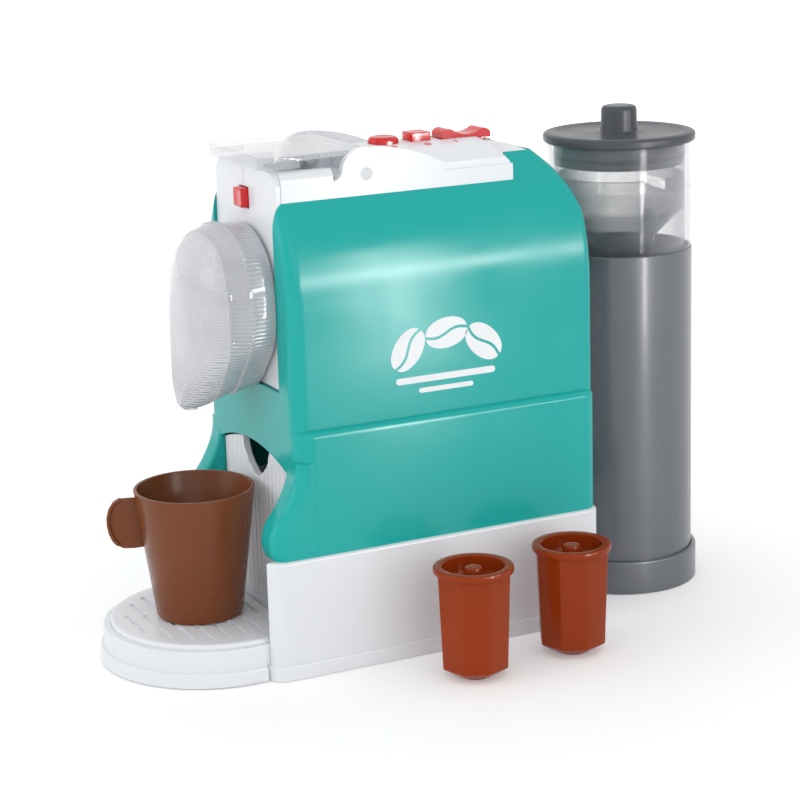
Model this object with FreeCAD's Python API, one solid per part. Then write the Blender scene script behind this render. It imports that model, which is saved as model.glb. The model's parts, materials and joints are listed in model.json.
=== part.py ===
import FreeCAD, Part
import math
import os

V = FreeCAD.Vector

# A toy coffee maker with a lift-off water tank, a cup and two toy capsules.
# Millimetres. +Z is up, -Y is the front where the cup stands, z = 0 is the table top.
# The origin is under the middle of the machine.

# Base
BASE_HALF = 44.5
BASE_FRONT = -77.0
BASE_REAR = 58.2
BASE_TOP = 43.6
BASE_CORNER = 6.0
BASE_WALL = 2.5
LIP_OUT = 1.0
LIP_TOP = 5.5
ARM_INSIDE = 40.0
BAY_REAR = -20.0
PLATE_THICK = 2.4
POSTS = [(sx * 37.0, y) for sx in (-1, 1) for y in (-11.0, 50.0)]

# Drip tray, its lift-off top and the bin for used capsules
TRAY_CENTRE = -83.0
TRAY_LIP_R = 41.5
TRAY_R = 40.0
TRAY_RIM = 13.4
TRAY_SLIDE_HALF = 39.6
TRAY_REAR = -22.5
GRILLE_R = 38.3
GRILLE_TOP = 15.2
GRILLE_REAR = -64.2
SILL_TOP = 17.0
BIN_HALF = 30.4
BIN_FRONT = -62.4
BIN_REAR = -24.0
BIN_TOP = 76.0
BIN_WALL = 1.4

# Body hood
HOOD_WALL = 2.4
HOOD_FRONT = -64.0
HOOD_REAR = 58.0
UPPER_HALF = 40.0
SHOULDER_Z = 130.0
DECK_HALF = 27.8
DECK_Z = 168.3
SPINE_HALF = 20.0
REAR_ARC_Y = 44.0
REAR_ARC_Z = 132.0
LOWER_HALF = 42.8
STEP_Z = 89.2
ARCH_HALF = 31.0
ARCH_SIDE_Z = 72.5
ARCH_MID_Z = 78.0
TOE_FRONT = -75.0
SHOULDER_R = ((DECK_Z - SHOULDER_Z) ** 2 + (UPPER_HALF - DECK_HALF) ** 2) / (2 * (UPPER_HALF - DECK_HALF))
SHOULDER_TOP = SHOULDER_Z + math.sqrt(SHOULDER_R ** 2 - (SPINE_HALF - UPPER_HALF + SHOULDER_R) ** 2)
REAR_SCREWS = [(sx * 23.5, z) for sx in (-1, 1) for z in (61.0, 119.0)]

# White front plate and top console
PLATE_HALF = 27.3
FRONT_PLATE_Y = -62.8
FRONT_PLATE_BACK = -60.3
FRONT_PLATE_LOW = 101.0
FRONT_PLATE_TOP = 179.5
CONSOLE_HALF = 27.6
CONSOLE_EDGE_Z = 174.2
BAY_RIM_Z = 178.8
CROWN_Z = 182.0
CROWN_FRONT = -17.4
CROWN_REAR = 31.6
SPINE_TOP = 177.6

# Capsule lid hinge
PIN_Y = -27.3
PIN_Z = 175.8
PIN_R = 2.3
EAR_R = 9.4
LID_TOP = 184.3

# Chute under the capsule lid
CHUTE_Y = -43.0
CHUTE_BORE = 15.2

# Buttons on top of the console
ROUND_Y = -7.2
SQUARE_Y = 6.4
ROCKER_Y = 25.0
ROCKER_Z = 178.4

# Front button and the gate that it pushes
FRONT_BUTTON_Z = 167.5

# Spout head
PEG_X = 12.0
PEG_Z = 116.0
SPOUT_SEAM = -72.5
NOZZLE_Y = -87.2
NOZZLE_Z = 92.6
NOZZLE_R = 2.6
HEAD_WALL = 1.6
# Sections of the head from back to front: y, half width, top, bottom and half width low down
HEAD_BACK = [(-64.2, 28.0, 158.0, 99.0, 13.0), (-68.4, 28.3, 158.6, 98.0, 12.5),
             (SPOUT_SEAM, 28.3, 158.8, 97.0, 12.0)]
HEAD_FRONT = [(SPOUT_SEAM - 0.1, 28.3, 158.8, 97.0, 12.0), (-78.0, 27.2, 157.6, 95.0, 10.5),
              (-83.0, 23.4, 154.4, 93.4, 8.8), (-86.6, 18.2, 148.6, 92.7, 7.6), (-89.2, 12.6, 139.0, 92.6, 6.6),
              (-91.2, 8.2, 124.0, 93.0, 5.8), (-92.2, 5.6, 112.0, 94.0, 4.8)]

# Water tank behind the body
TANK_Y = 93.5
SEAT_R = 29.9
SEAT_TOP = 13.0
SLEEVE_R = 28.0
SLEEVE_TOP = 133.5
JAR_TOP = 174.3
JAR_IN = 25.3
STANDPIPE = (4.7, TANK_Y + 9.7)
LID_R = 29.3
LID_UPPER = 177.9
KNOB_R = 7.0
KNOB_TOP = 187.8

# Cup and capsules
CUP_Y = -87.5
CUP_RIM_R = 22.1
CUP_FOOT_R = 15.8
CUP_RIM_Z = 63.6
CUP_WALL = 1.3
HANDLE_ANGLE = 244.0
CAPSULE_PLACES = [(71.6, -11.1), (67.5, 31.4)]
CAPSULE_TALL = 40.8
CAPSULE_RIM_R = 14.45
CAPSULE_TURN = -3.4

# Inside the machine
CELL_R = 7.2
CELL_LONG = 50.0
CELL_Z = 9.3
CELL_YS = (11.4, 26.0, 40.6)
BOX_FRONT = 2.9
BOX_REAR = 49.1
DOOR_SCREW = (31.5, 26.0)
PUMP_Z = 43.8
HOSE_R = 2.3
HOSE_BORE = 1.3
PIPE_X = 19.5
PIPE_Z = 134.0
MOTOR_Y = 34.0
BOARD_Z = 169.2
BOARD_POSTS = [(sx * 12.6, y, z) for sx in (-1, 1) for y, z in ((-10.0, 180.0), (36.0, 175.5))]
LAMP_X = -19.5


def box(x0, x1, y0, y1, z0, z1):
    return Part.makeBox(x1 - x0, y1 - y0, z1 - z0, V(x0, y0, z0))


def rod(x, y, z0, z1, r):
    return Part.makeCylinder(r, z1 - z0, V(x, y, z0))


def rod_x(x0, x1, y, z, r):
    return Part.makeCylinder(r, x1 - x0, V(x0, y, z), V(1, 0, 0))


def rod_y(x, y0, y1, z, r):
    return Part.makeCylinder(r, y1 - y0, V(x, y0, z), V(0, 1, 0))


def ring(x, y, z0, z1, r_out, r_in):
    return rod(x, y, z0, z1, r_out).cut(rod(x, y, z0 - 1, z1 + 1, r_in))


def cone(x, y, z0, z1, r0, r1):
    return Part.makeCone(r0, r1, z1 - z0, V(x, y, z0))


def outline(start, *steps):
    """A closed face. Each step is a point, or a pair of points that an arc passes and ends at."""
    edges = []
    at = start
    for step in list(steps) + [start]:
        if isinstance(step, tuple):
            edges.append(Part.Arc(at, step[0], step[1]).toShape())
            at = step[1]
        elif at.distanceToPoint(step) > 1e-6:
            edges.append(Part.LineSegment(at, step).toShape())
            at = step
    return Part.Face(Part.Wire(edges))


def turned(points, x=0.0, y=0.0):
    """A solid of revolution about a vertical line, from (radius, height) points."""
    face = outline(*[V(r, 0, z) for r, z in points])
    solid = face.revolve(V(0, 0, 0), V(0, 0, 1), 360)
    solid.translate(V(x, y, 0))
    return solid


def rounded(shape, radius, pick):
    """Fillets the edges that pick accepts, and keeps the shape if none can be rounded."""
    edges = [e for e in shape.Edges if pick(e)]
    if not edges:
        return shape
    try:
        done = shape.makeFillet(radius, edges)
    except Exception:
        print("an edge stayed sharp, radius", radius)
        return shape
    return done if done.isValid() and done.Volume > 0 else shape


def upright(edge, min_length=1.0):
    b = edge.BoundBox
    return b.XLength < 0.01 and b.YLength < 0.01 and b.ZLength > min_length


def level_at(edge, z):
    b = edge.BoundBox
    return abs(b.ZMin - z) < 0.01 and abs(b.ZMax - z) < 0.01


def rounded_box(x0, x1, y0, y1, z0, z1, side_r, top_r=0.0):
    b = rounded(box(x0, x1, y0, y1, z0, z1), side_r, upright)
    return rounded(b, top_r, lambda e: level_at(e, z1)) if top_r else b


def fused(first, *others):
    return first.multiFuse(list(others)).removeSplitter()


def save(name, *shapes):
    solids = [s for shape in shapes for s in shape.Solids]
    whole = solids[0] if len(solids) == 1 else Part.makeCompound(solids)
    for s in solids:
        if not s.isValid() or s.Volume <= 0:
            print("bad solid in", name)
    whole.exportStep("parts/%s.step" % name)


# Base and its bottom plate
def base_shell():
    body = rounded_box(-BASE_HALF, BASE_HALF, BASE_FRONT, BASE_REAR, 0, BASE_TOP, BASE_CORNER, 1.0)
    lip_half = BASE_HALF + LIP_OUT
    lip = rounded_box(-lip_half, lip_half, BASE_FRONT - LIP_OUT, BASE_REAR + LIP_OUT, 0, LIP_TOP,
                      BASE_CORNER + LIP_OUT, 0.6)
    body = body.fuse(lip)
    inner = BASE_HALF - BASE_WALL
    cavity = rounded_box(-inner, inner, BAY_REAR + 3, BASE_REAR - BASE_WALL, -1, BASE_TOP - BASE_WALL, 4.0)
    bay = box(-ARM_INSIDE, ARM_INSIDE, BASE_FRONT - 5, BAY_REAR, -1, BASE_TOP + 5)
    shell = body.cut(cavity).cut(bay)
    pump_hole = rod(0, MOTOR_Y, 30, 50, 4.0)
    wire_hole = box(-24, -16, 8, 16, 35, 50)
    hose_notch = box(-4, 4, 50, 62, -1, 9.3)
    hook_window = box(-12.2, 12.2, 50, BASE_REAR + 0.5, 8.3, 11.2)
    shell = shell.cut(pump_hole).cut(wire_hole).cut(hose_notch).cut(hook_window)
    for x, y in POSTS:
        post = rod(x, y, PLATE_THICK, BASE_TOP - 1, 3.4).cut(rod(x, y, 0, 20, 1.3))
        shell = shell.fuse(post)
    return shell.removeSplitter()


def bottom_plate():
    inner = BASE_HALF - BASE_WALL - 0.2
    plate = rounded_box(-inner, inner, BAY_REAR + 3.2, BASE_REAR - BASE_WALL - 0.2, 0, PLATE_THICK, 3.8)
    plate = plate.cut(box(-29, 29, BOX_FRONT - 0.5, BOX_REAR + 0.4, -1, 1.2))
    plate = plate.cut(box(-27.5, 27.5, BOX_FRONT + 1, BOX_REAR - 1.1, -1, 5))
    x, y = DOOR_SCREW
    plate = plate.cut(box(28, x + 3.3, y - 4.8, y + 4.8, -1, 1.2)).fuse(rod(x, y, 1.2, 6.4, 2.3))
    plate = plate.cut(rod(x, y, -1, 9, 1.05))
    plate = plate.cut(box(-4.2, 4.2, BOX_REAR + 0.9, 60, -1, 7))
    for x, y in POSTS:
        plate = plate.cut(rod(x, y, -1, 4, 1.5)).cut(rod(x, y, -1, 1.3, 2.9))
    return plate


def base_screws():
    return [fused(rod(x, y, 0.2, 1.3, 2.6), rod(x, y, 1.2, 15, 1.2)) for x, y in POSTS]


# Batteries
def battery_box():
    x1 = CELL_LONG / 2 + 2.6
    floor_z = 1.3
    top = floor_z + 2 * CELL_R + 3.0
    tub = box(-x1 - 1.4, x1 + 1.4, BOX_FRONT, BOX_REAR, PLATE_THICK + 0.1, top + 1.4)
    tub = tub.cut(box(-x1, x1, BOX_FRONT + 1.2, BOX_REAR - 1.2, 0, top))
    for y in (CELL_YS[0] + CELL_YS[1]) / 2, (CELL_YS[1] + CELL_YS[2]) / 2:
        tub = tub.fuse(box(-x1, x1, y - 0.3, y + 0.3, 12.0, top))
    return tub.removeSplitter()


def batteries():
    cells = []
    for y in CELL_YS:
        body = rod_x(-CELL_LONG / 2, CELL_LONG / 2 - 1.6, y, CELL_Z, CELL_R)
        cells.append(fused(body, rod_x(CELL_LONG / 2 - 1.6, CELL_LONG / 2, y, CELL_Z, 2.6)))
    return cells


def battery_contacts():
    plates = []
    for y in CELL_YS:
        for sx in (-1, 1):
            x = sx * (CELL_LONG / 2 + 2.2)
            plate = box(x - 0.3, x + 0.3, y - 5, y + 5, 4.4, 14.2)
            tip = rod_x(min(x, sx * 25.1), max(x, sx * 25.1), y, CELL_Z, 2.4)
            plates.append(fused(plate, tip))
    return plates


def battery_door():
    door = box(-28.8, 28.8, BOX_FRONT - 0.3, BOX_REAR + 0.2, 0.0, 1.1)
    x, y = DOOR_SCREW
    door = door.fuse(box(28, x + 3, y - 4.5, y + 4.5, 0, 1.1))
    door = door.cut(rod(x, y, -1, 3, 1.3)).cut(rod(x, y, -1, 0.6, 2.4))
    for x in (-8, -4, 0, 4):
        door = door.cut(box(x, x + 1.2, 34, 42, -1, 0.5))
    return door.removeSplitter()


def battery_door_screw():
    x, y = DOOR_SCREW
    return fused(rod(x, y, 0.1, 0.6, 2.2), rod(x, y, 0.5, 6.0, 1.0))


# Drip tray
def tray_plan(r, y_rear, z0, z1, centre=TRAY_CENTRE):
    """A round-nosed slab, straight at its sides from the nose's centre back to y_rear."""
    face = outline(V(-r, centre, z0), (V(0, centre - r, z0), V(r, centre, z0)), V(r, y_rear, z0), V(-r, y_rear, z0))
    return face.extrude(V(0, 0, z1 - z0))


def drip_tray():
    front = BASE_FRONT - LIP_OUT - 0.4
    lip = rounded(tray_plan(TRAY_LIP_R, front, 0.3, LIP_TOP), 0.8, lambda e: level_at(e, LIP_TOP))
    nose = tray_plan(TRAY_R, front, 0.3, TRAY_RIM)
    nose = rounded(nose, 0.8, lambda e: level_at(e, TRAY_RIM) and e.BoundBox.YMin < front - 1)
    back = box(-TRAY_SLIDE_HALF, TRAY_SLIDE_HALF, front - 2, TRAY_REAR, 0.3, TRAY_RIM)
    body = fused(nose, lip, back)
    well = tray_plan(GRILLE_R - 1.8, GRILLE_REAR - 1.8, 2.3, TRAY_RIM + 5, TRAY_CENTRE + 1)
    seat = tray_plan(GRILLE_R + 0.15, GRILLE_REAR + 0.15, TRAY_RIM - 1.4, TRAY_RIM + 5, TRAY_CENTRE + 1)
    sill = box(-TRAY_SLIDE_HALF, TRAY_SLIDE_HALF, GRILLE_REAR + 0.4, GRILLE_REAR + 4.4, TRAY_RIM - 1, SILL_TOP)
    pocket = box(-BIN_HALF - 0.2, BIN_HALF + 0.2, BIN_FRONT - 0.2, BIN_REAR + 0.2, SILL_TOP - 0.2, 30)
    under = box(-36, 36, -56, TRAY_REAR - 2, -1, TRAY_RIM - 2)
    return fused(body, sill).cut(well).cut(seat).cut(under).cut(pocket)


def drip_grille():
    centre = TRAY_CENTRE + 1
    plate = tray_plan(GRILLE_R, GRILLE_REAR, TRAY_RIM - 1.3, GRILLE_TOP, centre)
    plate = rounded(plate, 1.2, lambda e: level_at(e, GRILLE_TOP))
    dish = tray_plan(GRILLE_R - 4, GRILLE_REAR - 3, TRAY_RIM - 5, TRAY_RIM - 0.2, centre)
    plate = plate.cut(dish)
    slot = 1.7
    for row in range(8):
        y = -113.0 + row * 6.2
        half = math.sqrt(max(0.0, (GRILLE_R - 5.5) ** 2 - min(0.0, y - centre) ** 2))
        rib_xs = [(-half, -half * 0.42), (-half * 0.34, half * 0.34), (half * 0.42, half)]
        for x0, x1 in rib_xs:
            plate = plate.cut(rounded(box(x0, x1, y - slot / 2, y + slot / 2, 5, 30), slot * 0.49, upright))
    return plate


def capsule_bin():
    z0 = SILL_TOP - 0.15
    top = BIN_TOP - ARCH_SIDE_Z
    front_face = outline(V(-BIN_HALF, BIN_FRONT, z0), V(BIN_HALF, BIN_FRONT, z0),
                         V(BIN_HALF, BIN_FRONT, BIN_TOP - top - 0.6),
                         (V(0, BIN_FRONT, BIN_TOP + 1.2), V(-BIN_HALF, BIN_FRONT, BIN_TOP - top - 0.6)))
    block = front_face.extrude(V(0, BIN_REAR - BIN_FRONT, 0))
    inside = box(-BIN_HALF + BIN_WALL, BIN_HALF - BIN_WALL, BIN_FRONT + BIN_WALL + 0.8, BIN_REAR - BIN_WALL,
                 z0 + BIN_WALL, 90)
    low_sides = box(-40, 40, BIN_FRONT + 6, BIN_REAR + 5, 58, 90)
    notch = outline(V(-12.5, 0, 90), V(-12.5, 0, 77.5), (V(-9.3, 0, 69.5), V(-4.2, 0, 65.6)),
                    (V(0, 0, 64.0), V(4.2, 0, 65.6)), (V(9.3, 0, 69.5), V(12.5, 0, 77.5)), V(12.5, 0, 90))
    notch.translate(V(0, BIN_FRONT - 5, 0))
    cup = block.cut(inside).cut(low_sides).cut(notch.extrude(V(0, 12, 0)))
    ribs = []
    pitch = 3.8
    count = int(2 * (BIN_HALF - 2) / pitch)
    for i in range(count + 1):
        x = (i - count / 2) * pitch
        ribs.append(rod(x, BIN_FRONT + 0.9, z0 + 1, BIN_TOP + 5, 1.15))
    flutes = ribs[0].multiFuse(ribs[1:])
    flutes = flutes.common(box(-BIN_HALF, BIN_HALF, BIN_FRONT - 3, BIN_FRONT + 0.5, z0, 90))
    side_top = BIN_TOP - top - 0.8
    above = outline(V(-BIN_HALF - 1, 0, side_top), (V(0, 0, BIN_TOP + 1), V(BIN_HALF + 1, 0, side_top)),
                    V(BIN_HALF + 1, 0, 95), V(-BIN_HALF - 1, 0, 95))
    above.translate(V(0, BIN_FRONT - 5, 0))
    flutes = flutes.cut(notch.extrude(V(0, 12, 0))).cut(above.extrude(V(0, 12, 0)))
    return cup.fuse(flutes).removeSplitter()


# Body hood
def hood_half_width(z):
    """Half the upper hood's width at a height on its shoulder arc."""
    if z <= SHOULDER_Z:
        return UPPER_HALF
    return UPPER_HALF - SHOULDER_R + math.sqrt(SHOULDER_R ** 2 - (z - SHOULDER_Z) ** 2)


def upper_hood(inset, z_low):
    r = SHOULDER_R - inset
    half = UPPER_HALF - inset
    top = SHOULDER_TOP - inset
    x_top = half - r + math.sqrt(r ** 2 - (top - SHOULDER_Z) ** 2)
    z_mid = SHOULDER_Z + 0.55 * (top - SHOULDER_Z)
    x_mid = half - r + math.sqrt(r ** 2 - (z_mid - SHOULDER_Z) ** 2)
    y0 = HOOD_FRONT + inset
    section = outline(V(-half, y0, z_low), V(half, y0, z_low), V(half, y0, SHOULDER_Z),
                      (V(x_mid, y0, z_mid), V(x_top, y0, top)), V(-x_top, y0, top),
                      (V(-x_mid, y0, z_mid), V(-half, y0, SHOULDER_Z)))
    body = section.extrude(V(0, HOOD_REAR - HOOD_FRONT - 2 * inset, 0))
    if inset == 0:
        body = rounded(body, 5.5, lambda e: e.BoundBox.YMax < y0 + 0.01 and not level_at(e, z_low)
                       and not level_at(e, top))
    across = HOOD_REAR - REAR_ARC_Y - inset
    tall = SHOULDER_TOP - REAR_ARC_Z - inset
    angle = math.radians(42)
    mid = V(-60, REAR_ARC_Y + across * math.sin(angle), REAR_ARC_Z + tall * math.cos(angle))
    side = outline(V(-60, -90, z_low), V(-60, HOOD_REAR - inset, z_low), V(-60, HOOD_REAR - inset, REAR_ARC_Z),
                   (mid, V(-60, REAR_ARC_Y, top)), V(-60, -90, top))
    body = body.common(side.extrude(V(120, 0, 0)))
    if inset == 0:
        rear = [e for e in body.Edges if e.BoundBox.YMin > REAR_ARC_Y - 1 and abs(e.BoundBox.Center.x) > 25
                and not level_at(e, z_low) and e.BoundBox.ZLength > 2]
        try:
            body = body.makeFillet(4.0, rear)
        except Exception:
            print("rear hood edges stayed sharp")
    return body


def lower_hood(inset, z_low):
    return rounded_box(-LOWER_HALF + inset, LOWER_HALF - inset, HOOD_FRONT + inset, HOOD_REAR + 0.4 - inset,
                       z_low, STEP_Z - inset, 7.0 - inset, 2.8 if inset == 0 else 1.0)


def toe(side):
    """The foot that flares forward beside the arch."""
    y_in = HOOD_FRONT + 6
    curve = Part.BSplineCurve()
    curve.interpolate(Points=[V(0, HOOD_FRONT, ARCH_MID_Z), V(0, -64.6, 71.5), V(0, -67.2, 65.0), V(0, -70.6, 59.4),
                              V(0, -73.9, 54.6), V(0, TOE_FRONT, 49.6), V(0, -73.6, BASE_TOP)])
    back = [V(0, -73.6, BASE_TOP), V(0, y_in, BASE_TOP), V(0, y_in, ARCH_MID_Z), V(0, HOOD_FRONT, ARCH_MID_Z)]
    edges = [curve.toShape()] + [Part.LineSegment(p, q).toShape() for p, q in zip(back, back[1:])]
    face = Part.Face(Part.Wire(edges))
    x0 = ARCH_HALF if side > 0 else -LOWER_HALF
    face.translate(V(x0, 0, 0))
    solid = face.extrude(V(LOWER_HALF - ARCH_HALF, 0, 0))
    outer = side * LOWER_HALF
    inner = side * ARCH_HALF

    def front_curve(x):
        return lambda e: abs(e.BoundBox.XMin - x) < 0.01 and abs(e.BoundBox.XMax - x) < 0.01 \
            and e.BoundBox.YLength > 8 and e.BoundBox.ZLength > 8
    solid = rounded(solid, 4.5, front_curve(outer))
    return rounded(solid, 1.2, front_curve(inner))


def body_hood():
    outside = upper_hood(0, BASE_TOP).fuse(lower_hood(0, BASE_TOP))
    inside = upper_hood(HOOD_WALL, BASE_TOP - 3).fuse(lower_hood(HOOD_WALL, BASE_TOP - 3))
    shell = outside.fuse(toe(-1)).fuse(toe(1)).removeSplitter().cut(inside)
    for side in (-1, 1):
        hollow = box(33.6, 40.2, -71.5, -60, BASE_TOP - 1, 56)
        shell = shell.cut(hollow if side > 0 else hollow.mirror(V(0, 0, 0), V(1, 0, 0)))
    arch = outline(V(-ARCH_HALF, -90, BASE_TOP - 1), V(ARCH_HALF, -90, BASE_TOP - 1), V(ARCH_HALF, -90, ARCH_SIDE_Z),
                   (V(0, -90, ARCH_MID_Z), V(-ARCH_HALF, -90, ARCH_SIDE_Z)))
    shell = shell.cut(arch.extrude(V(0, 40, 0)))
    shell = shell.cut(box(-DECK_HALF, DECK_HALF, -70, CROWN_REAR + 0.2, DECK_Z, 200))
    shell = shell.cut(box(-24.6, 24.6, -60, 29.0, 150, 200))
    shell = shell.cut(box(-SPINE_HALF + 0.4, SPINE_HALF - 0.4, 20, REAR_ARC_Y, 160, 200))
    shell = shell.cut(box(-PLATE_HALF - 0.15, PLATE_HALF + 0.15, -70, -60, FRONT_PLATE_LOW - 0.15, 200))
    rear_window = box(-28.2, 28.2, 50, 70, 55.8, 124.2)
    shell = shell.cut(rear_window)
    for sx in (-1, 1):
        for y in (-12.0, 44.0):
            tab = box(min(sx * 33, sx * 40.6), max(sx * 33, sx * 40.6), y - 4, y + 4, BASE_TOP, BASE_TOP + 3)
            shell = shell.fuse(tab)
    return shell.removeSplitter()


def rear_cover():
    cover = box(-28, 28, HOOD_REAR - HOOD_WALL, HOOD_REAR - 0.4, 56, 124)
    flange = box(-30.5, 30.5, HOOD_REAR - HOOD_WALL - 1.6, HOOD_REAR - HOOD_WALL - 0.1, 53.5, 126.5)
    cover = cover.fuse(box(-26, 26, HOOD_REAR - HOOD_WALL - 0.2, HOOD_REAR - 1, 58, 122)).fuse(flange)
    for row in range(7):
        z = 98 + row * 3.2
        cover = cover.cut(box(-9, 9, 50, 70, z, z + 1.4))
    for x, z in REAR_SCREWS:
        cover = cover.cut(rod_y(x, 50, 70, z, 1.5)).cut(rod_y(x, HOOD_REAR - 1.6, 70, z, 2.9))
    return cover.removeSplitter()


def rear_screws():
    return [fused(rod_y(x, HOOD_REAR - 1.6, HOOD_REAR - 0.7, z, 2.6), rod_y(x, 46, HOOD_REAR - 1.5, z, 1.2))
            for x, z in REAR_SCREWS]


# Front plate
def front_plate():
    plate = box(-PLATE_HALF, PLATE_HALF, FRONT_PLATE_Y, FRONT_PLATE_BACK, FRONT_PLATE_LOW, FRONT_PLATE_TOP)
    plate = rounded(plate, 7.0, lambda e: e.BoundBox.YLength > 2 and e.BoundBox.ZLength < 0.01
                    and e.BoundBox.ZMin > 170)
    plate = rounded(plate, 0.6, lambda e: e.BoundBox.YMax < FRONT_PLATE_Y + 0.01)
    plate = plate.cut(box(-4.3, 4.3, -70, -50, FRONT_BUTTON_Z - 3.9, FRONT_BUTTON_Z + 3.9))
    plate = plate.cut(box(-0.25, 0.25, -70, FRONT_PLATE_Y + 0.35, FRONT_BUTTON_Z + 4.6, FRONT_PLATE_TOP))
    plate = plate.cut(rod_y(PIPE_X, -70, -50, PIPE_Z, 3.2))
    for sx in (-1, 1):
        plate = plate.cut(rod_y(sx * PEG_X, -70, -50, PEG_Z, 1.5))
    return plate


# Top console
def crown_face(x_side, z_side, z_top, y):
    return outline(V(-x_side, y, DECK_Z - 5), V(x_side, y, DECK_Z - 5), V(x_side, y, z_side),
                   (V(0, y, z_top), V(-x_side, y, z_side)))


def ear(side):
    """The hinge ear: a round lobe with a sloping tail that runs back along the console's edge."""
    x0 = 24.8 if side > 0 else -CONSOLE_HALF
    tall = PIN_Z + EAR_R
    face = outline(V(x0, PIN_Y - EAR_R - 4.5, CONSOLE_EDGE_Z), (V(x0, PIN_Y - EAR_R - 1.2, CONSOLE_EDGE_Z + 1),
                   V(x0, PIN_Y - EAR_R, PIN_Z + 1)), (V(x0, PIN_Y - EAR_R * 0.707, PIN_Z + EAR_R * 0.74),
                   V(x0, PIN_Y, tall)), (V(x0, -12, 183.2), V(x0, 4, 177.0)), V(x0, 4, DECK_Z), V(x0, -42, DECK_Z))
    return face.extrude(V(CONSOLE_HALF - 24.8, 0, 0))


def top_console():
    strip = box(-CONSOLE_HALF, CONSOLE_HALF, -60.2, CROWN_REAR, DECK_Z, CONSOLE_EDGE_Z)
    rim_face = outline(V(-CONSOLE_HALF, -60.2, CONSOLE_EDGE_Z), V(CONSOLE_HALF, -60.2, CONSOLE_EDGE_Z),
                       (V(27.0, -60.2, 177.4), V(25.2, -60.2, BAY_RIM_Z)), V(-25.2, -60.2, BAY_RIM_Z),
                       (V(-27.0, -60.2, 177.4), V(-CONSOLE_HALF, -60.2, CONSOLE_EDGE_Z)))
    bay_block = rim_face.extrude(V(0, 20, 0))
    crown = crown_face(26.6, CONSOLE_EDGE_Z + 2.6, CROWN_Z, CROWN_FRONT).extrude(V(0, CROWN_REAR - CROWN_FRONT, 0))
    crown = crown.common(box(-40, 40, -90, 60, DECK_Z, 200))
    crown = rounded(crown, 4.0, lambda e: e.BoundBox.YMin > CROWN_REAR - 0.01 and e.BoundBox.ZMax > 176
                    and e.BoundBox.XLength > 20)
    spine = crown_face(SPINE_HALF - 0.7, SPINE_TOP - 1.0, SPINE_TOP, 20).extrude(V(0, REAR_ARC_Y - 20.3, 0))
    spine = spine.common(box(-40, 40, 0, 60, DECK_Z, 200))
    body = fused(strip, bay_block, crown, spine, ear(-1), ear(1))
    bay = rounded_box(-22.9, 22.9, -58.2, CROWN_FRONT, 172.4, 200, 3.0)
    lid_gap = box(-24.7, 24.7, PIN_Y - EAR_R - 5, CROWN_FRONT, 171.4, 200)
    body = body.cut(bay).cut(lid_gap)
    body = body.cut(rod(0, CHUTE_Y, 150, 200, CHUTE_BORE))
    hollow = crown_face(24.4, CONSOLE_EDGE_Z + 1.4, CROWN_Z - 2.0, CROWN_FRONT + 2)
    hollow = hollow.extrude(V(0, CROWN_REAR - CROWN_FRONT - 4.5, 0))
    body = body.cut(hollow.common(box(-24, 24, -90, 60, 150, 200)))
    body = body.cut(box(-17.5, 17.5, 27, REAR_ARC_Y - 2.2, 150, SPINE_TOP - 3.4))
    slot_under = box(-19.6, 19.6, -61, CROWN_FRONT - 1.5, 160, 170.4)
    body = body.cut(slot_under)
    for x, y, z1 in BOARD_POSTS:
        body = body.fuse(rod(x, y, BOARD_Z + 1.65, z1, 1.6))
    body = body.cut(rod(0, ROUND_Y, 172, 200, 5.85))
    body = body.cut(box(-4.3, 4.3, SQUARE_Y - 4.3, SQUARE_Y + 4.3, 172, 200))
    body = body.cut(box(-4.9, 4.9, ROCKER_Y - 11.3, ROCKER_Y + 10.6, 172, 200))
    body = body.cut(box(-4.5, 4.5, -61, -57.6, 160, FRONT_BUTTON_Z + 4.1))
    for sx in (-1, 1):
        bore = rod_x(min(sx * 20, sx * 30), max(sx * 20, sx * 30), PIN_Y, PIN_Z, PIN_R + 0.04)
        body = body.cut(bore)
    return max(body.removeSplitter().Solids, key=lambda s: s.Volume)


def lid_pins():
    return [rod_x(21.0, 27.5, PIN_Y, PIN_Z, PIN_R), rod_x(-27.5, -21.0, PIN_Y, PIN_Z, PIN_R)]


def capsule_lid():
    front, waist, rear = -66.6, PIN_Y - EAR_R - 2.5, -24.2
    wide, narrow = 26.4, 24.3
    low = LID_TOP - 1.9
    face = outline(V(-wide + 5, front, low), V(wide - 5, front, low),
                   (V(wide - 1.46, front + 1.46, low), V(wide, front + 5, low)), V(wide, waist - 12, low),
                   V(narrow, waist, low), V(narrow, rear, low), V(-narrow, rear, low), V(-narrow, waist, low),
                   V(-wide, waist - 12, low),
                   V(-wide, front + 5, low), (V(-wide + 1.46, front + 1.46, low), V(-wide + 5, front, low)))
    plate = rounded(face.extrude(V(0, 0, LID_TOP - low)), 0.7, lambda e: level_at(e, LID_TOP))
    skirt_low = 180.1
    skirt = face.copy()
    skirt.translate(V(0, 0, skirt_low - low))
    skirt = skirt.extrude(V(0, 0, low - skirt_low)).common(box(-30, 30, -70, waist - 13, 0, 200))
    skirt = skirt.cut(box(-wide + 2, wide - 2, front + 2, 0, 0, 200))
    lid = fused(plate, skirt)
    for sx in (-1, 1):
        x0, x1 = sorted((sx * 21.3, sx * 24.3))
        arm = box(x0, x1, PIN_Y - 3.6, PIN_Y + 3.2, PIN_Z, low + 0.1)
        arm = arm.fuse(rod_x(x0, x1, PIN_Y, PIN_Z, 4.0))
        lid = lid.fuse(arm).cut(rod_x(x0 - 1, x1 + 1, PIN_Y, PIN_Z, PIN_R + 0.06))
    return lid.removeSplitter()


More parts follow.
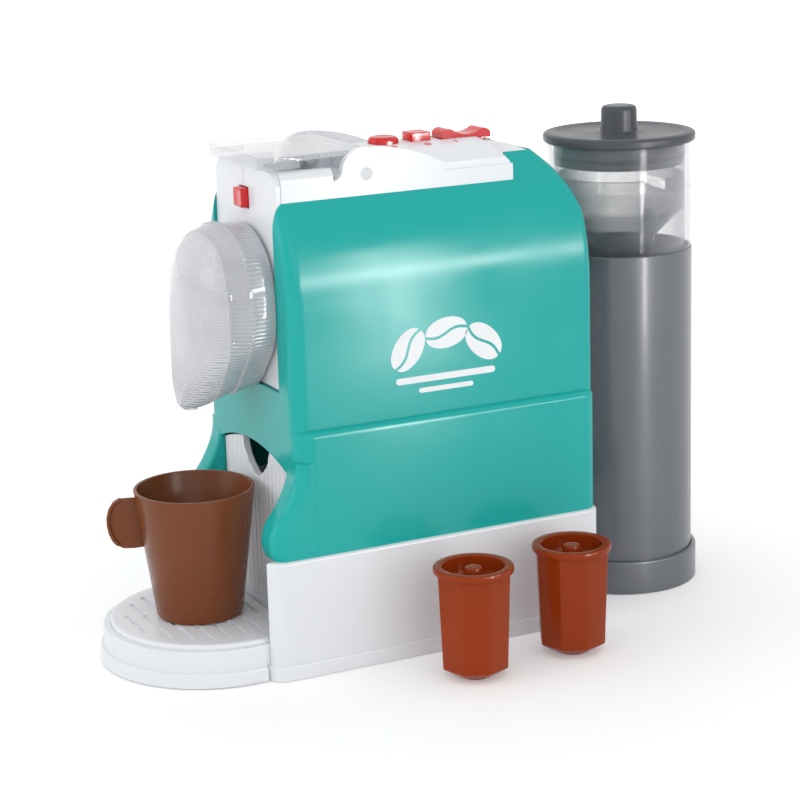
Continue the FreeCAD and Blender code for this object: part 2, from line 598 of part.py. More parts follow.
# Chute and the gate
def capsule_chute():
    tube_wall = 1.3
    chute = ring(0, CHUTE_Y, 88, 163.0, CHUTE_BORE + tube_wall, CHUTE_BORE)
    flange = box(-24, 24, -58.8, -17.5, 161.6, 163.4).cut(rod(0, CHUTE_Y, 150, 170, CHUTE_BORE))
    flange = flange.fuse(box(-16, 16, -18.9, -17.5, 163.2, DECK_Z - 0.1))
    chute = chute.cut(box(-30, 30, -70, -59.4, 80, 170))
    for sx in (-1, 1):
        for y in (-56.0, -24.0):
            post = rod(sx * 21.6, y, 163.0, DECK_Z - 0.1, 1.4)
            flange = flange.fuse(post)
    return fused(chute, flange)


def release_gate():
    """A sliding plate under the lid. Its rear lip holds the capsule's flange until the button pushes it back."""
    offset = 2.4
    plate = rounded_box(-19.0, 19.0, -58.0, -24.5, 164.6, 166.4, 2.5)
    plate = plate.cut(rod(0, CHUTE_Y - offset, 160, 170, CHUTE_BORE - 0.2))
    return plate


def front_button():
    head = box(-3.9, 3.9, -65.9, -60.9, FRONT_BUTTON_Z - 3.5, FRONT_BUTTON_Z + 3.5)
    head = rounded(head, 1.4, lambda e: e.BoundBox.YLength > 4)
    head = rounded(head, 0.9, lambda e: e.BoundBox.YMax < -65.85)
    stem = box(-2.4, 2.4, -61.0, -58.05, 164.8, 168.0)
    return fused(head, stem)


def gate_springs():
    """Two coils behind the gate."""
    coils = []
    for sx in (-1, 1):
        helix = Part.makeHelix(1.25, 5.0, 1.3)
        profile = Part.Wire(Part.makeCircle(0.25, V(1.3, 0, 0), V(0, 1, 0)))
        coil = Part.Wire(helix).makePipeShell([profile], True, False)
        coil.rotate(V(0, 0, 0), V(1, 0, 0), -90)
        coil.translate(V(sx * 12, -24.1, 165.5))
        coils.append(coil)
    return coils


# Buttons on top
def round_button():
    cap = rounded(rod(0, ROUND_Y, 177.0, 184.4, 5.6), 1.3, lambda e: level_at(e, 184.4))
    return fused(cap, rod(0, ROUND_Y, 177.0, 178.2, 6.8), rod(0, ROUND_Y, 174.4, 177.2, 1.6))


def square_button():
    cap = box(-4.05, 4.05, SQUARE_Y - 4.05, SQUARE_Y + 4.05, 177.0, 185.2)
    cap = rounded(rounded(cap, 0.9, upright), 0.7, lambda e: level_at(e, 185.2))
    return fused(cap, box(-5.4, 5.4, SQUARE_Y - 5.4, SQUARE_Y + 5.4, 177.0, 178.2),
                 rod(0, SQUARE_Y, 174.4, 177.2, 1.6))


def power_rocker():
    half = 10.0
    face = outline(V(-4.5, ROCKER_Y - half, 181.2), V(-4.5, ROCKER_Y + half, 181.2),
                   V(-4.5, ROCKER_Y + half, 183.0), (V(-4.5, ROCKER_Y + half - 1.8, 184.5),
                   V(-4.5, ROCKER_Y + half - 4, 184.5)), (V(-4.5, ROCKER_Y, 182.9),
                   V(-4.5, ROCKER_Y - half + 4, 185.0)), (V(-4.5, ROCKER_Y - half + 1.6, 185.0),
                   V(-4.5, ROCKER_Y - half, 183.4)))
    cap = rounded(face.extrude(V(9.0, 0, 0)), 0.7, lambda e: abs(e.BoundBox.XLength) < 0.01
                  and e.BoundBox.ZMin > 181.3)
    web = box(-4.1, 4.1, ROCKER_Y - 6.4, ROCKER_Y + 6.4, ROCKER_Z - 2.4, 181.4)
    return fused(cap, web).cut(rod_x(-6, 6, ROCKER_Y, ROCKER_Z, 0.95))


def rocker_pin():
    return rod_x(-7.6, 7.6, ROCKER_Y, ROCKER_Z, 0.9)


def control_board():
    return box(-15, 15, -13.0, 39.0, BOARD_Z, BOARD_Z + 1.6)


def key_switches():
    switches = []
    for y, top in ((ROUND_Y, 172.2), (SQUARE_Y, 172.2), (ROCKER_Y - 6, 174.9), (ROCKER_Y + 6, 174.9)):
        switches.append(fused(box(-3, 3, y - 3, y + 3, BOARD_Z + 1.6, top - 0.8), rod(0, y, top - 0.9, top, 1.4)))
    return switches


def rocker_cradle():
    """Two clips that stand on the board and hold the rocker's pin."""
    clips = []
    for sx in (-1, 1):
        x0, x1 = sorted((sx * 5.4, sx * 7.2))
        clip = box(x0, x1, ROCKER_Y - 2.2, ROCKER_Y + 2.2, BOARD_Z + 1.6, ROCKER_Z + 0.9)
        clips.append(clip.cut(rod_x(x0 - 1, x1 + 1, ROCKER_Y, ROCKER_Z, 0.95)))
    return clips


# Spout head
def egg(y, half, top, low, low_half, wide_at=0.56):
    """A closed egg-shaped wire across the head, broad above and narrow at the nozzle."""
    tall = top - low
    right = [(0.0, top), (0.56 * half, top - 0.052 * tall), (0.86 * half, top - 0.18 * tall),
             (half, low + wide_at * tall), (0.93 * half, low + 0.34 * tall),
             (0.5 * (0.75 * half + low_half), low + 0.15 * tall), (low_half * 0.75, low + 0.035 * tall),
             (0.0, low)]
    points = right + [(-x, z) for x, z in reversed(right[1:-1])]
    curve = Part.BSplineCurve()
    curve.interpolate(Points=[V(x, y, z) for x, z in points], PeriodicFlag=True)
    return Part.Wire(curve.toShape())


def head_solid(sections, inset):
    wires = []
    for y, half, top, low, low_half in sections:
        wires.append(egg(y, half - inset, top - inset, low + inset, max(1.5, low_half - inset)))
    return Part.makeLoft(wires, True, False)


def spout_back_shell():
    """The collar on the front plate, with a boss that fits the plate's recess and two pegs."""
    solid = head_solid(HEAD_BACK, 0.0)
    inner = list(HEAD_BACK)
    inner[0] = (inner[0][0] - HEAD_WALL,) + inner[0][1:]
    inner[-1] = (SPOUT_SEAM - 1,) + inner[-1][1:]
    shell = solid.cut(head_solid(inner, HEAD_WALL))
    boss = Part.makeLoft([egg(y, 26.0, 155.5, 102.5, 11.0) for y in (-64.4, FRONT_PLATE_Y - 0.1)], True, False)
    shell = shell.fuse(boss)
    for sx in (-1, 1):
        shell = shell.fuse(rod_y(sx * PEG_X, -64.4, FRONT_PLATE_BACK - 0.2, PEG_Z, 1.35))
    return shell.cut(rod_y(PIPE_X, -75, -50, PIPE_Z, 3.2)).removeSplitter()


def spout_front_shell():
    solid = head_solid(HEAD_FRONT, 0.0)
    last = len(HEAD_FRONT) - 1
    inner = [(s[0] + HEAD_WALL * i / last,) + s[1:] for i, s in enumerate(HEAD_FRONT)]
    inner[0] = (SPOUT_SEAM + 1,) + inner[0][1:]
    shell = solid.cut(head_solid(inner, HEAD_WALL))
    return shell.cut(rod(0, NOZZLE_Y, 80, 112, NOZZLE_R + 0.35))


def bent_tube(points, r_out, r_in):
    """A tube along straight runs joined by arcs, each as large as its runs allow."""
    edges = []
    radii = []
    at = points[0]
    for i in range(1, len(points) - 1):
        a, b, c = points[i - 1], points[i], points[i + 1]
        u = (a - b).normalize()
        w = (c - b).normalize()
        turn = math.pi - u.getAngle(w)
        reach = 0.45 * min((a - b).Length, (c - b).Length)
        radius = reach / math.tan(turn / 2)
        radii.append(round(radius, 1))
        start, end = b + u * reach, b + w * reach
        bisector = (u + w).normalize()
        middle = b + bisector * (radius / math.cos(turn / 2) - radius)
        if at.distanceToPoint(start) > 1e-6:
            edges.append(Part.LineSegment(at, start).toShape())
        edges.append(Part.Arc(start, middle, end).toShape())
        at = end
    edges.append(Part.LineSegment(at, points[-1]).toShape())
    print("bend radii of a tube", 2 * r_out, "thick:", radii)
    path = Part.Wire(edges)
    heading = (points[1] - points[0]).normalize()
    outer = path.makePipeShell([Part.Wire(Part.makeCircle(r_out, points[0], heading))], True, False)
    if not r_in:
        return outer
    inner = path.makePipeShell([Part.Wire(Part.makeCircle(r_in, points[0], heading))], True, False)
    return outer.cut(inner)


def spout_tube():
    """The rigid nozzle pipe inside the head."""
    return bent_tube([V(PIPE_X, -57.0, PIPE_Z), V(PIPE_X, -70.0, PIPE_Z), V(11.0, -80.5, 124.0),
                      V(0, NOZZLE_Y, 113.0), V(0, NOZZLE_Y, NOZZLE_Z)], NOZZLE_R, NOZZLE_R - 0.9)


# Pump and hoses
def pump_motor():
    low = PUMP_Z + 16
    can = rod(0, MOTOR_Y, low, low + 26, 10.0)
    can = can.common(box(-10, 10, MOTOR_Y - 7.6, MOTOR_Y + 7.6, low - 5, low + 30))
    return fused(can, rod(0, MOTOR_Y, low + 26, low + 28.2, 3.0)).cut(rod(0, MOTOR_Y, low - 5, low + 4, 1.06))


def pump_housing():
    house = rod(0, MOTOR_Y, PUMP_Z, PUMP_Z + 15.9, 12.4)
    house = house.cut(rod(0, MOTOR_Y, PUMP_Z + 2.4, PUMP_Z + 11.4, 9.6))
    house = house.cut(rod(0, MOTOR_Y, PUMP_Z + 8, PUMP_Z + 20, 2.2))
    foot = rounded_box(-19, 19, MOTOR_Y - 5, MOTOR_Y + 5, PUMP_Z, PUMP_Z + 2.3, 3.0)
    inlet = rod(0, MOTOR_Y, PUMP_Z - 5.6, PUMP_Z + 1, HOSE_R)
    outlet = rod_x(9.9, 18, MOTOR_Y, PUMP_Z + 8.6, HOSE_R)
    house = fused(house, foot, inlet, outlet)
    house = house.cut(rod(0, MOTOR_Y, PUMP_Z - 9, PUMP_Z + 4, HOSE_BORE))
    return house.cut(rod_x(6, 19, MOTOR_Y, PUMP_Z + 8.6, HOSE_BORE)).removeSplitter()


def pump_impeller():
    hub = fused(rod(0, MOTOR_Y, PUMP_Z + 3, PUMP_Z + 10.6, 3.0), rod(0, MOTOR_Y, PUMP_Z + 10.4, PUMP_Z + 19, 1.0))
    blade_count = 6
    for i in range(blade_count):
        blade = box(2.0, 8.6, MOTOR_Y - 0.6, MOTOR_Y + 0.6, PUMP_Z + 3.2, PUMP_Z + 9.6)
        blade.rotate(V(0, MOTOR_Y, 0), V(0, 0, 1), 360.0 * i / blade_count)
        hub = hub.fuse(blade)
    return hub.removeSplitter()


def suction_hose():
    """From under the tank's seat, through the base's rear wall and up to the pump's inlet."""
    z = 3.6
    return bent_tube([V(0, TANK_Y - 4.2, z), V(0, 58.5, z), V(0, 52.6, 9.5), V(0, 51.9, 22.6), V(0, 43, 28.2),
                      V(0, MOTOR_Y, 29.4), V(0, MOTOR_Y, PUMP_Z - 5.7)], HOSE_R, HOSE_BORE)


def delivery_hose():
    """From the pump's outlet up the right side to the nozzle pipe."""
    z = PUMP_Z + 8.6
    return bent_tube([V(18.1, MOTOR_Y, z), V(28.5, MOTOR_Y, z), V(30, 26, 76), V(29.5, 6, 100), V(29, -16, 119),
                      V(26, -36, 131), V(PIPE_X, -45, PIPE_Z), V(PIPE_X, -56.9, PIPE_Z)], HOSE_R, HOSE_BORE)


# Sound and light
def speaker():
    cone_part = fused(rod_x(-37.4, -34.2, 22, 106, 13.0), rod_x(-34.4, -30.0, 22, 106, 7.0))
    return cone_part


def lamp():
    return fused(rod_y(LAMP_X, -59.2, -54.0, 140, 2.5), rod_y(LAMP_X, FRONT_PLATE_BACK + 0.1, -59.0, 140, 1.8))


# Tank and its seat
def tank_seat():
    wall = ring(0, TANK_Y, 0, SEAT_TOP, SEAT_R, SLEEVE_R + 0.35)
    wall = rounded(wall, 0.7, lambda e: level_at(e, SEAT_TOP) and e.BoundBox.XLength > 2 * SEAT_R - 0.1)
    floor = rod(0, TANK_Y, 6.4, 8.6, SEAT_R - 0.5)
    boss = rod(0, TANK_Y, 1.3, 9.4, 4.0)
    bridge = box(-14, 14, BASE_REAR + LIP_OUT + 0.1, 68, 0, 11).cut(rod(0, TANK_Y, -1, 20, SLEEVE_R + 0.35))
    hook = box(-12, 12, 54.6, BASE_REAR + LIP_OUT + 0.2, 8.5, 11)
    seat = fused(wall, floor, boss, bridge, hook)
    channel = fused(box(-3, 3, 54, TANK_Y - 4.1, -1, 6.3), box(-3.2, 3.2, 50, 62, -1, 9.4),
                    box(-3.2, 3.2, 50, 57.4, -1, 20))
    spigot = rod_y(0, TANK_Y - 6, TANK_Y, 3.6, HOSE_BORE)
    bore = rod(0, TANK_Y, 3.6, 20, 2.4)
    return seat.cut(channel).cut(spigot).cut(bore)


def tank_sleeve():
    sleeve = ring(0, TANK_Y, 9.0, SLEEVE_TOP, SLEEVE_R, SLEEVE_R - 1.1)
    return rounded(sleeve, 0.5, lambda e: level_at(e, SLEEVE_TOP) and e.BoundBox.XLength > 2 * SLEEVE_R - 0.1)


def tank_jar():
    r_low = SLEEVE_R - 1.15
    points = [(0, 10.2), (r_low, 10.2), (r_low, SLEEVE_TOP + 0.1), (SLEEVE_R - 0.1, SLEEVE_TOP + 0.1),
              (SLEEVE_R - 0.1, 156.4), (SLEEVE_R + 0.3, 157.2), (SLEEVE_R - 0.1, 158.0), (SLEEVE_R - 0.4, JAR_TOP),
              (JAR_IN, JAR_TOP), (JAR_IN, 12.2), (0, 12.2)]
    jar = turned(points, 0, TANK_Y)
    return jar.cut(rod(0, TANK_Y, 5, 20, 3.0))


def tank_funnel():
    hole = 4.6
    points = [(JAR_IN - 0.15, 148.6), (JAR_IN - 0.15, 161.6), (23.6, 161.6), (23.6, 149.2), (hole, 130.6),
              (hole, 124.0), (hole + 1.2, 124.0), (hole + 1.2, 129.4)]
    funnel = turned(points, 0, TANK_Y)
    px, py = STANDPIPE
    return funnel.cut(rod(px, py, 100, 165, 3.3))


def tank_standpipe():
    px, py = STANDPIPE
    pipe = rounded(rod(px, py, 12.25, 147.5, 3.0), 2.6, lambda e: level_at(e, 147.5))
    return pipe.cut(rod(px, py, 16, 144.5, 1.9))


def tank_valve():
    return fused(rod(0, TANK_Y, 9.6, 12.6, 1.5), rod(0, TANK_Y, 12.45, 14.0, 4.6))


def valve_spring():
    helix = Part.makeHelix(1.5, 6.0, 3.0)
    profile = Part.Wire(Part.makeCircle(0.3, V(3.0, 0, 0), V(0, 1, 0)))
    coil = Part.Wire(helix).makePipeShell([profile], True, False)
    coil.translate(V(0, TANK_Y, 14.5))
    return coil


def valve_cage():
    """The clear cap that the valve's spring pushes against."""
    cage = ring(0, TANK_Y, 12.25, 23.2, 6.6, 5.4)
    cage = cage.fuse(rod(0, TANK_Y, 21.4, 23.2, 6.0).cut(rod(0, TANK_Y, 20, 25, 1.2)))
    for i in range(4):
        slot = box(4.0, 8.0, TANK_Y - 1.5, TANK_Y + 1.5, 13.4, 19.6)
        slot.rotate(V(0, TANK_Y, 0), V(0, 0, 1), 90.0 * i + 45)
        cage = cage.cut(slot)
    return cage.removeSplitter()


def tank_lid():
    plug = ring(0, TANK_Y, 165.6, 174.6, JAR_IN - 0.35, JAR_IN - 2.2)
    points = [(0, 174.45), (LID_R - 0.5, 174.45), (LID_R, 175.0), (LID_R, 177.1), (LID_R - 0.8, LID_UPPER),
              (LID_R - 4.0, LID_UPPER + 0.25), (LID_R - 6.5, LID_UPPER - 0.5), (KNOB_R + 3, LID_UPPER - 0.3),
              (KNOB_R, LID_UPPER), (KNOB_R - 0.2, KNOB_TOP - 1.4), (KNOB_R - 1.4, KNOB_TOP - 0.2), (0, KNOB_TOP)]
    lid = fused(turned(points, 0, TANK_Y), plug)
    return lid.cut(rod(0, TANK_Y, 170, KNOB_TOP - 3, KNOB_R - 2))


def lid_seal():
    return ring(0, TANK_Y, 168.2, 170.0, JAR_IN - 0.08, JAR_IN - 0.34)


# Cup
def cup():
    z0 = GRILLE_TOP + 0.02
    slope = (CUP_RIM_R - CUP_FOOT_R) / (CUP_RIM_Z - z0)
    wall = cone(0, CUP_Y, z0, CUP_RIM_Z, CUP_FOOT_R, CUP_RIM_R)
    wall = rounded(wall, 1.6, lambda e: level_at(e, z0))
    inner_low = CUP_FOOT_R - CUP_WALL + slope * 1.8
    inside = cone(0, CUP_Y, z0 + 1.8, CUP_RIM_Z + 2, inner_low, CUP_RIM_R - CUP_WALL + slope * 2)
    tab_in, tab_out = 17.0, 32.5
    lip_half, lip_deep = 1.9, 1.5
    face = outline(V(tab_in, 0, CUP_RIM_Z - 5.0), V(tab_in + 3.5, 0, CUP_RIM_Z - 3.6),
                   (V(tab_out - 3.6, 0, CUP_RIM_Z - 4.0), V(tab_out - 0.9, 0, CUP_RIM_Z - 7.2)),
                   (V(tab_out, 0, CUP_RIM_Z - 11.5), V(tab_out - 0.9, 0, CUP_RIM_Z - 17.0)),
                   (V(tab_out - 2.9, 0, CUP_RIM_Z - 21.2), V(tab_out - 6.5, 0, CUP_RIM_Z - 22.9)),
                   V(tab_in, 0, CUP_RIM_Z - 22.0))
    lobe = face.extrude(V(0, 2.0, 0))
    lobe.translate(V(0, -1.0, 0))
    lip = face.extrude(V(0, 2 * lip_half, 0))
    lip.translate(V(0, -lip_half, 0))
    inner_face = face.copy()
    inner_face.translate(V(-lip_deep, 0, 0))
    lip = lip.cut(inner_face.extrude(V(0, 10, 0)).fuse(inner_face.extrude(V(0, -10, 0))))
    lip = lip.common(box(tab_out - 5, 60, -10, 10, 0, 100))
    handle = max(fused(lobe, lip).Solids, key=lambda s: s.Volume)
    handle.rotate(V(0, 0, 0), V(0, 0, 1), HANDLE_ANGLE)
    handle.translate(V(0, CUP_Y, 0))
    return wall.fuse(handle).cut(inside).removeSplitter()


# Capsules
def facet_prism(r0, r1, z0, z1):
    """An eight-sided slab or taper. The radii are those of its corners."""
    sides = 8
    wires = []
    for r, z in ((r0, z0), (r1, z1)):
        angles = [math.radians(CAPSULE_TURN) + 2 * math.pi * i / sides for i in range(sides)]
        points = [V(r * math.cos(a), r * math.sin(a), z) for a in angles]
        wires.append(Part.makePolygon(points + [points[0]]))
    return Part.makeLoft(wires, True, True)


def capsule_cup():
    body = fused(facet_prism(12.5, 13.8, 3.6, CAPSULE_TALL - 1.6), facet_prism(8.2, 12.5, 0.8, 3.6),
                 rod(0, 0, 0, 0.8, 6.8))
    rim = rounded(rod(0, 0, CAPSULE_TALL - 2.4, CAPSULE_TALL, CAPSULE_RIM_R), 0.8, lambda e: True)
    inside = cone(0, 0, 2.6, 50, 10.3, 11.6)
    return fused(body, rim).cut(inside)


def capsule_cap():
    floor_z = CAPSULE_TALL - 5.2
    nub_top = CAPSULE_TALL - 0.6
    cap = rod(0, 0, floor_z - 1.4, floor_z, 11.0)
    nub = rounded(rod(0, 0, floor_z - 0.5, nub_top, 3.2), 0.8, lambda e: level_at(e, nub_top))
    return fused(cap, nub)


def placed(shape, x, y):
    s = shape.copy()
    s.translate(V(x, y, 0.0))
    return s


PIECES = [base_shell, bottom_plate, base_screws, battery_box, batteries, battery_contacts, battery_door,
          battery_door_screw, drip_tray, drip_grille, capsule_bin, body_hood, rear_cover, rear_screws, front_plate,
          top_console, lid_pins, capsule_lid, capsule_chute, release_gate, front_button, gate_springs, round_button,
          square_button, power_rocker, rocker_pin, rocker_cradle, control_board, key_switches, spout_back_shell,
          spout_front_shell, spout_tube, pump_motor, pump_housing, pump_impeller, suction_hose, delivery_hose,
          speaker, lamp, tank_seat, tank_sleeve, tank_jar, tank_funnel, tank_standpipe, tank_valve, valve_spring,
          valve_cage, tank_lid, lid_seal, cup]


def main():
    os.makedirs("parts", exist_ok=True)
    for piece in PIECES:
        made = piece()
        save(piece.__name__, *(made if isinstance(made, list) else [made]))
    for i, (x, y) in enumerate(CAPSULE_PLACES, 1):
        save("capsule_%d_cup" % i, placed(capsule_cup(), x, y))
        save("capsule_%d_cap" % i, placed(capsule_cap(), x, y))


main()
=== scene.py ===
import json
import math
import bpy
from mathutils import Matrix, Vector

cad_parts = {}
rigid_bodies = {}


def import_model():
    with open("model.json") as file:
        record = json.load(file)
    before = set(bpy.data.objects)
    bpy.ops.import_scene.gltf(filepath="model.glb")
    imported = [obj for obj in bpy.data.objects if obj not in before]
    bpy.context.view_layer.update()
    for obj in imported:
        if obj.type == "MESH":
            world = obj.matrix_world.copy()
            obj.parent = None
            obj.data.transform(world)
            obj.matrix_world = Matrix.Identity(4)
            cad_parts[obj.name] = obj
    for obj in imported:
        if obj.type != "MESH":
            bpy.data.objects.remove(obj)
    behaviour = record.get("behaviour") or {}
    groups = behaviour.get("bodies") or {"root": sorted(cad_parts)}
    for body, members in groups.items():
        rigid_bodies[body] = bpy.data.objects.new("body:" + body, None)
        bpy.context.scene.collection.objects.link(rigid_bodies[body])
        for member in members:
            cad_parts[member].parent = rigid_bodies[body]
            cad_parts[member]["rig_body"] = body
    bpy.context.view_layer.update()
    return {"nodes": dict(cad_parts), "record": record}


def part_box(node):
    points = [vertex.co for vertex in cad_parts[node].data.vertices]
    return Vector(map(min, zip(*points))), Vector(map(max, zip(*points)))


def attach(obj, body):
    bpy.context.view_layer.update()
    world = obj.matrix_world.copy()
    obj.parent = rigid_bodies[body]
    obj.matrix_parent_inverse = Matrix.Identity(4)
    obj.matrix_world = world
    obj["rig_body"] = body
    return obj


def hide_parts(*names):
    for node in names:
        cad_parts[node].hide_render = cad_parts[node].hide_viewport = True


bl_info = {
    "name": "Toy Coffee Maker",
    "version": (1, 0, 0),
    "blender": (4, 5, 0),
    "location": "View3D > Sidebar > Coffee Maker",
    "description": "Dresses the toy coffee maker, its cup and its capsules, and sets the stage round them",
    "category": "Object",
}

import bpy
from mathutils import Matrix, Vector

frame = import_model()

MM = 0.001


def mm(*values):
    """A point or a size given in millimetres, in metres."""
    return Vector([v * MM for v in values])


def srgb(red, green, blue):
    """A screen colour, each part from 0 to 255, as Blender's linear colour."""
    parts = []
    for part in (red, green, blue):
        c = part / 255
        parts.append(c / 12.92 if c <= 0.04045 else ((c + 0.055) / 1.055) ** 2.4)
    return tuple(parts)


# Places that the frame gives
CUP_LOW, CUP_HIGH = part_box("cup")
SLEEVE_LOW, SLEEVE_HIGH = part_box("tank_sleeve")
JAR_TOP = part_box("tank_jar")[1].z
PIPE_LOW, PIPE_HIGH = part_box("tank_standpipe")
ROUND_LOW, ROUND_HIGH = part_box("round_button")
SQUARE_LOW, SQUARE_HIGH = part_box("square_button")
ROCKER_LOW, ROCKER_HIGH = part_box("power_rocker")
FRONT_LOW, FRONT_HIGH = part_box("front_button")
GRILLE_LOW, GRILLE_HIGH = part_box("drip_grille")


def middle(low, high):
    return (low + high) / 2


TANK_MIDDLE = middle(SLEEVE_LOW, SLEEVE_HIGH)
PIPE_MIDDLE = middle(PIPE_LOW, PIPE_HIGH)
CUP_RIM = (CUP_HIGH.x - CUP_LOW.x) / 2
CUP_MIDDLE = Vector((0, CUP_HIGH.y - CUP_RIM, 0))
CUP_FOOT_Z = CUP_LOW.z / MM
CUP_TOP_Z = CUP_HIGH.z / MM
HANDLE_ANGLE = math.radians(244.0)
CAPSULE_TURN = math.radians(-3.4)
HOOD_SIDE = 40.0
CROWN_TOP = 182.0
CROWN_BEND = 70.6
MARK_X = 9.5

# The camera, where the photograph was taken from
CAMERA_AIM = mm(0, -3.28, 84.26)
CAMERA_AWAY = 868.84 * MM
CAMERA_AZIMUTH = math.radians(64.13)
CAMERA_ELEVATION = math.radians(14.33)
CAMERA_ROLL = math.radians(1.63)
SENSOR_WIDTH = 36.0
FOCAL_PIXELS = 2305.7
PICTURE_PIXELS = 800


class CoffeeColours(bpy.types.PropertyGroup):
    """The colours of the mouldings."""

    teal: bpy.props.FloatVectorProperty(
        name="Hood teal", description="The body hood", subtype="COLOR", default=srgb(24, 174, 168))
    white: bpy.props.FloatVectorProperty(
        name="White", description="Base, tray, front plate and console", subtype="COLOR",
        default=srgb(232, 235, 239))
    clear: bpy.props.FloatVectorProperty(
        name="Clear", description="Tint of the clear mouldings", subtype="COLOR", default=srgb(222, 224, 230))
    tank: bpy.props.FloatVectorProperty(
        name="Tank grey", description="Tank sleeve and seat", subtype="COLOR", default=srgb(98, 102, 108))
    lid: bpy.props.FloatVectorProperty(
        name="Lid grey", description="Tank lid and knob", subtype="COLOR", default=srgb(84, 87, 92))
    red: bpy.props.FloatVectorProperty(
        name="Button red", description="Buttons and the marks beside them", subtype="COLOR",
        default=srgb(216, 18, 24))
    cup: bpy.props.FloatVectorProperty(
        name="Cup brown", description="The toy cup", subtype="COLOR", default=srgb(122, 68, 38))
    capsule: bpy.props.FloatVectorProperty(
        name="Capsule rust", description="The toy capsules", subtype="COLOR", default=srgb(150, 56, 16))


class CoffeeSizes(bpy.types.PropertyGroup):
    """Sizes of the looks that a user may change."""

    edge: bpy.props.FloatProperty(
        name="Edge round", description="Radius on the edges of the modelled pieces", unit="LENGTH",
        default=0.6 * MM, min=0.1 * MM, max=1.5 * MM)
    print_proud: bpy.props.FloatProperty(
        name="Print height", description="How far the printed motif stands off the hood", unit="LENGTH",
        default=0.12 * MM, min=0.05 * MM, max=0.3 * MM)
    around: bpy.props.IntProperty(
        name="Steps around", description="Faces round a turned piece", default=112, min=32, max=192)
    grip_pitch: bpy.props.FloatProperty(
        name="Face pattern pitch", description="Spacing of the fine pattern moulded on the spout head",
        unit="LENGTH", default=1.5 * MM, min=0.6 * MM, max=3.0 * MM)


def colours():
    return bpy.context.scene.coffee_colours


def sizes():
    return bpy.context.scene.coffee_sizes


# Node materials
def new_material(name):
    """A material with only its output and a Principled shader, and its node tree."""
    material = bpy.data.materials.new(name)
    material.use_nodes = True
    nodes = material.node_tree.nodes
    shader = nodes["Principled BSDF"]
    return material, nodes, material.node_tree.links, shader


def math_node(nodes, links, operation, first, second=None):
    node = nodes.new("ShaderNodeMath")
    node.operation = operation
    for i, value in enumerate((first, second)):
        if value is None:
            continue
        if isinstance(value, (int, float)):
            node.inputs[i].default_value = value
        else:
            links.new(value, node.inputs[i])
    return node.outputs[0]


def noise_node(nodes, links, place, scale, detail=2.0, roughness=0.5):
    node = nodes.new("ShaderNodeTexNoise")
    node.inputs["Scale"].default_value = scale
    node.inputs["Detail"].default_value = detail
    node.inputs["Roughness"].default_value = roughness
    links.new(place, node.inputs["Vector"])
    return node.outputs["Fac"]


def span_node(nodes, links, value, low, high, from_low=0.3, from_high=0.7):
    node = nodes.new("ShaderNodeMapRange")
    node.inputs["From Min"].default_value = from_low
    node.inputs["From Max"].default_value = from_high
    node.inputs["To Min"].default_value = low
    node.inputs["To Max"].default_value = high
    links.new(value, node.inputs["Value"])
    return node.outputs["Result"]


def mix_colours(nodes, links, share, first, second):
    node = nodes.new("ShaderNodeMix")
    node.data_type = "RGBA"
    links.new(share, node.inputs["Factor"])
    node.inputs["A"].default_value = (*first, 1)
    node.inputs["B"].default_value = (*second, 1)
    return node.outputs["Result"]


def scaled(colour, factor):
    return tuple(min(1.0, c * factor) for c in colour)


def bump_node(nodes, links, height, distance, strength=1.0, below=None):
    node = nodes.new("ShaderNodeBump")
    node.inputs["Distance"].default_value = distance
    node.inputs["Strength"].default_value = strength
    links.new(height, node.inputs["Height"])
    if below is not None:
        links.new(below, node.inputs["Normal"])
    return node.outputs["Normal"]


def moulded(name, colour, rough=0.3, mottle=0.05, flow=14.0, grain=900.0, grain_depth=0.004, coat=0.0,
            shine=0.3):
    """A moulded plastic: faint flow shading, uneven gloss and a fine skin."""
    material, nodes, links, shader = new_material(name)
    place = nodes.new("ShaderNodeTexCoord").outputs["Object"]
    flow_share = span_node(nodes, links, noise_node(nodes, links, place, flow, 3.0), 0.0, 1.0)
    base = mix_colours(nodes, links, flow_share, scaled(colour, 1 - mottle), scaled(colour, 1 + mottle * 0.5))
    links.new(base, shader.inputs["Base Color"])
    smear = noise_node(nodes, links, place, flow * 5, 4.0, 0.6)
    links.new(span_node(nodes, links, smear, rough - 0.035, rough + 0.05), shader.inputs["Roughness"])
    skin = noise_node(nodes, links, place, grain, 2.0)
    wave = noise_node(nodes, links, place, flow * 2.2, 1.0)
    soft = bump_node(nodes, links, wave, 0.05 * MM, 0.35)
    links.new(bump_node(nodes, links, skin, grain_depth * MM, 0.5, soft), shader.inputs["Normal"])
    shader.inputs["Specular IOR Level"].default_value = shine
    shader.inputs["Coat Weight"].default_value = coat
    shader.inputs["Coat Roughness"].default_value = 0.12
    return material


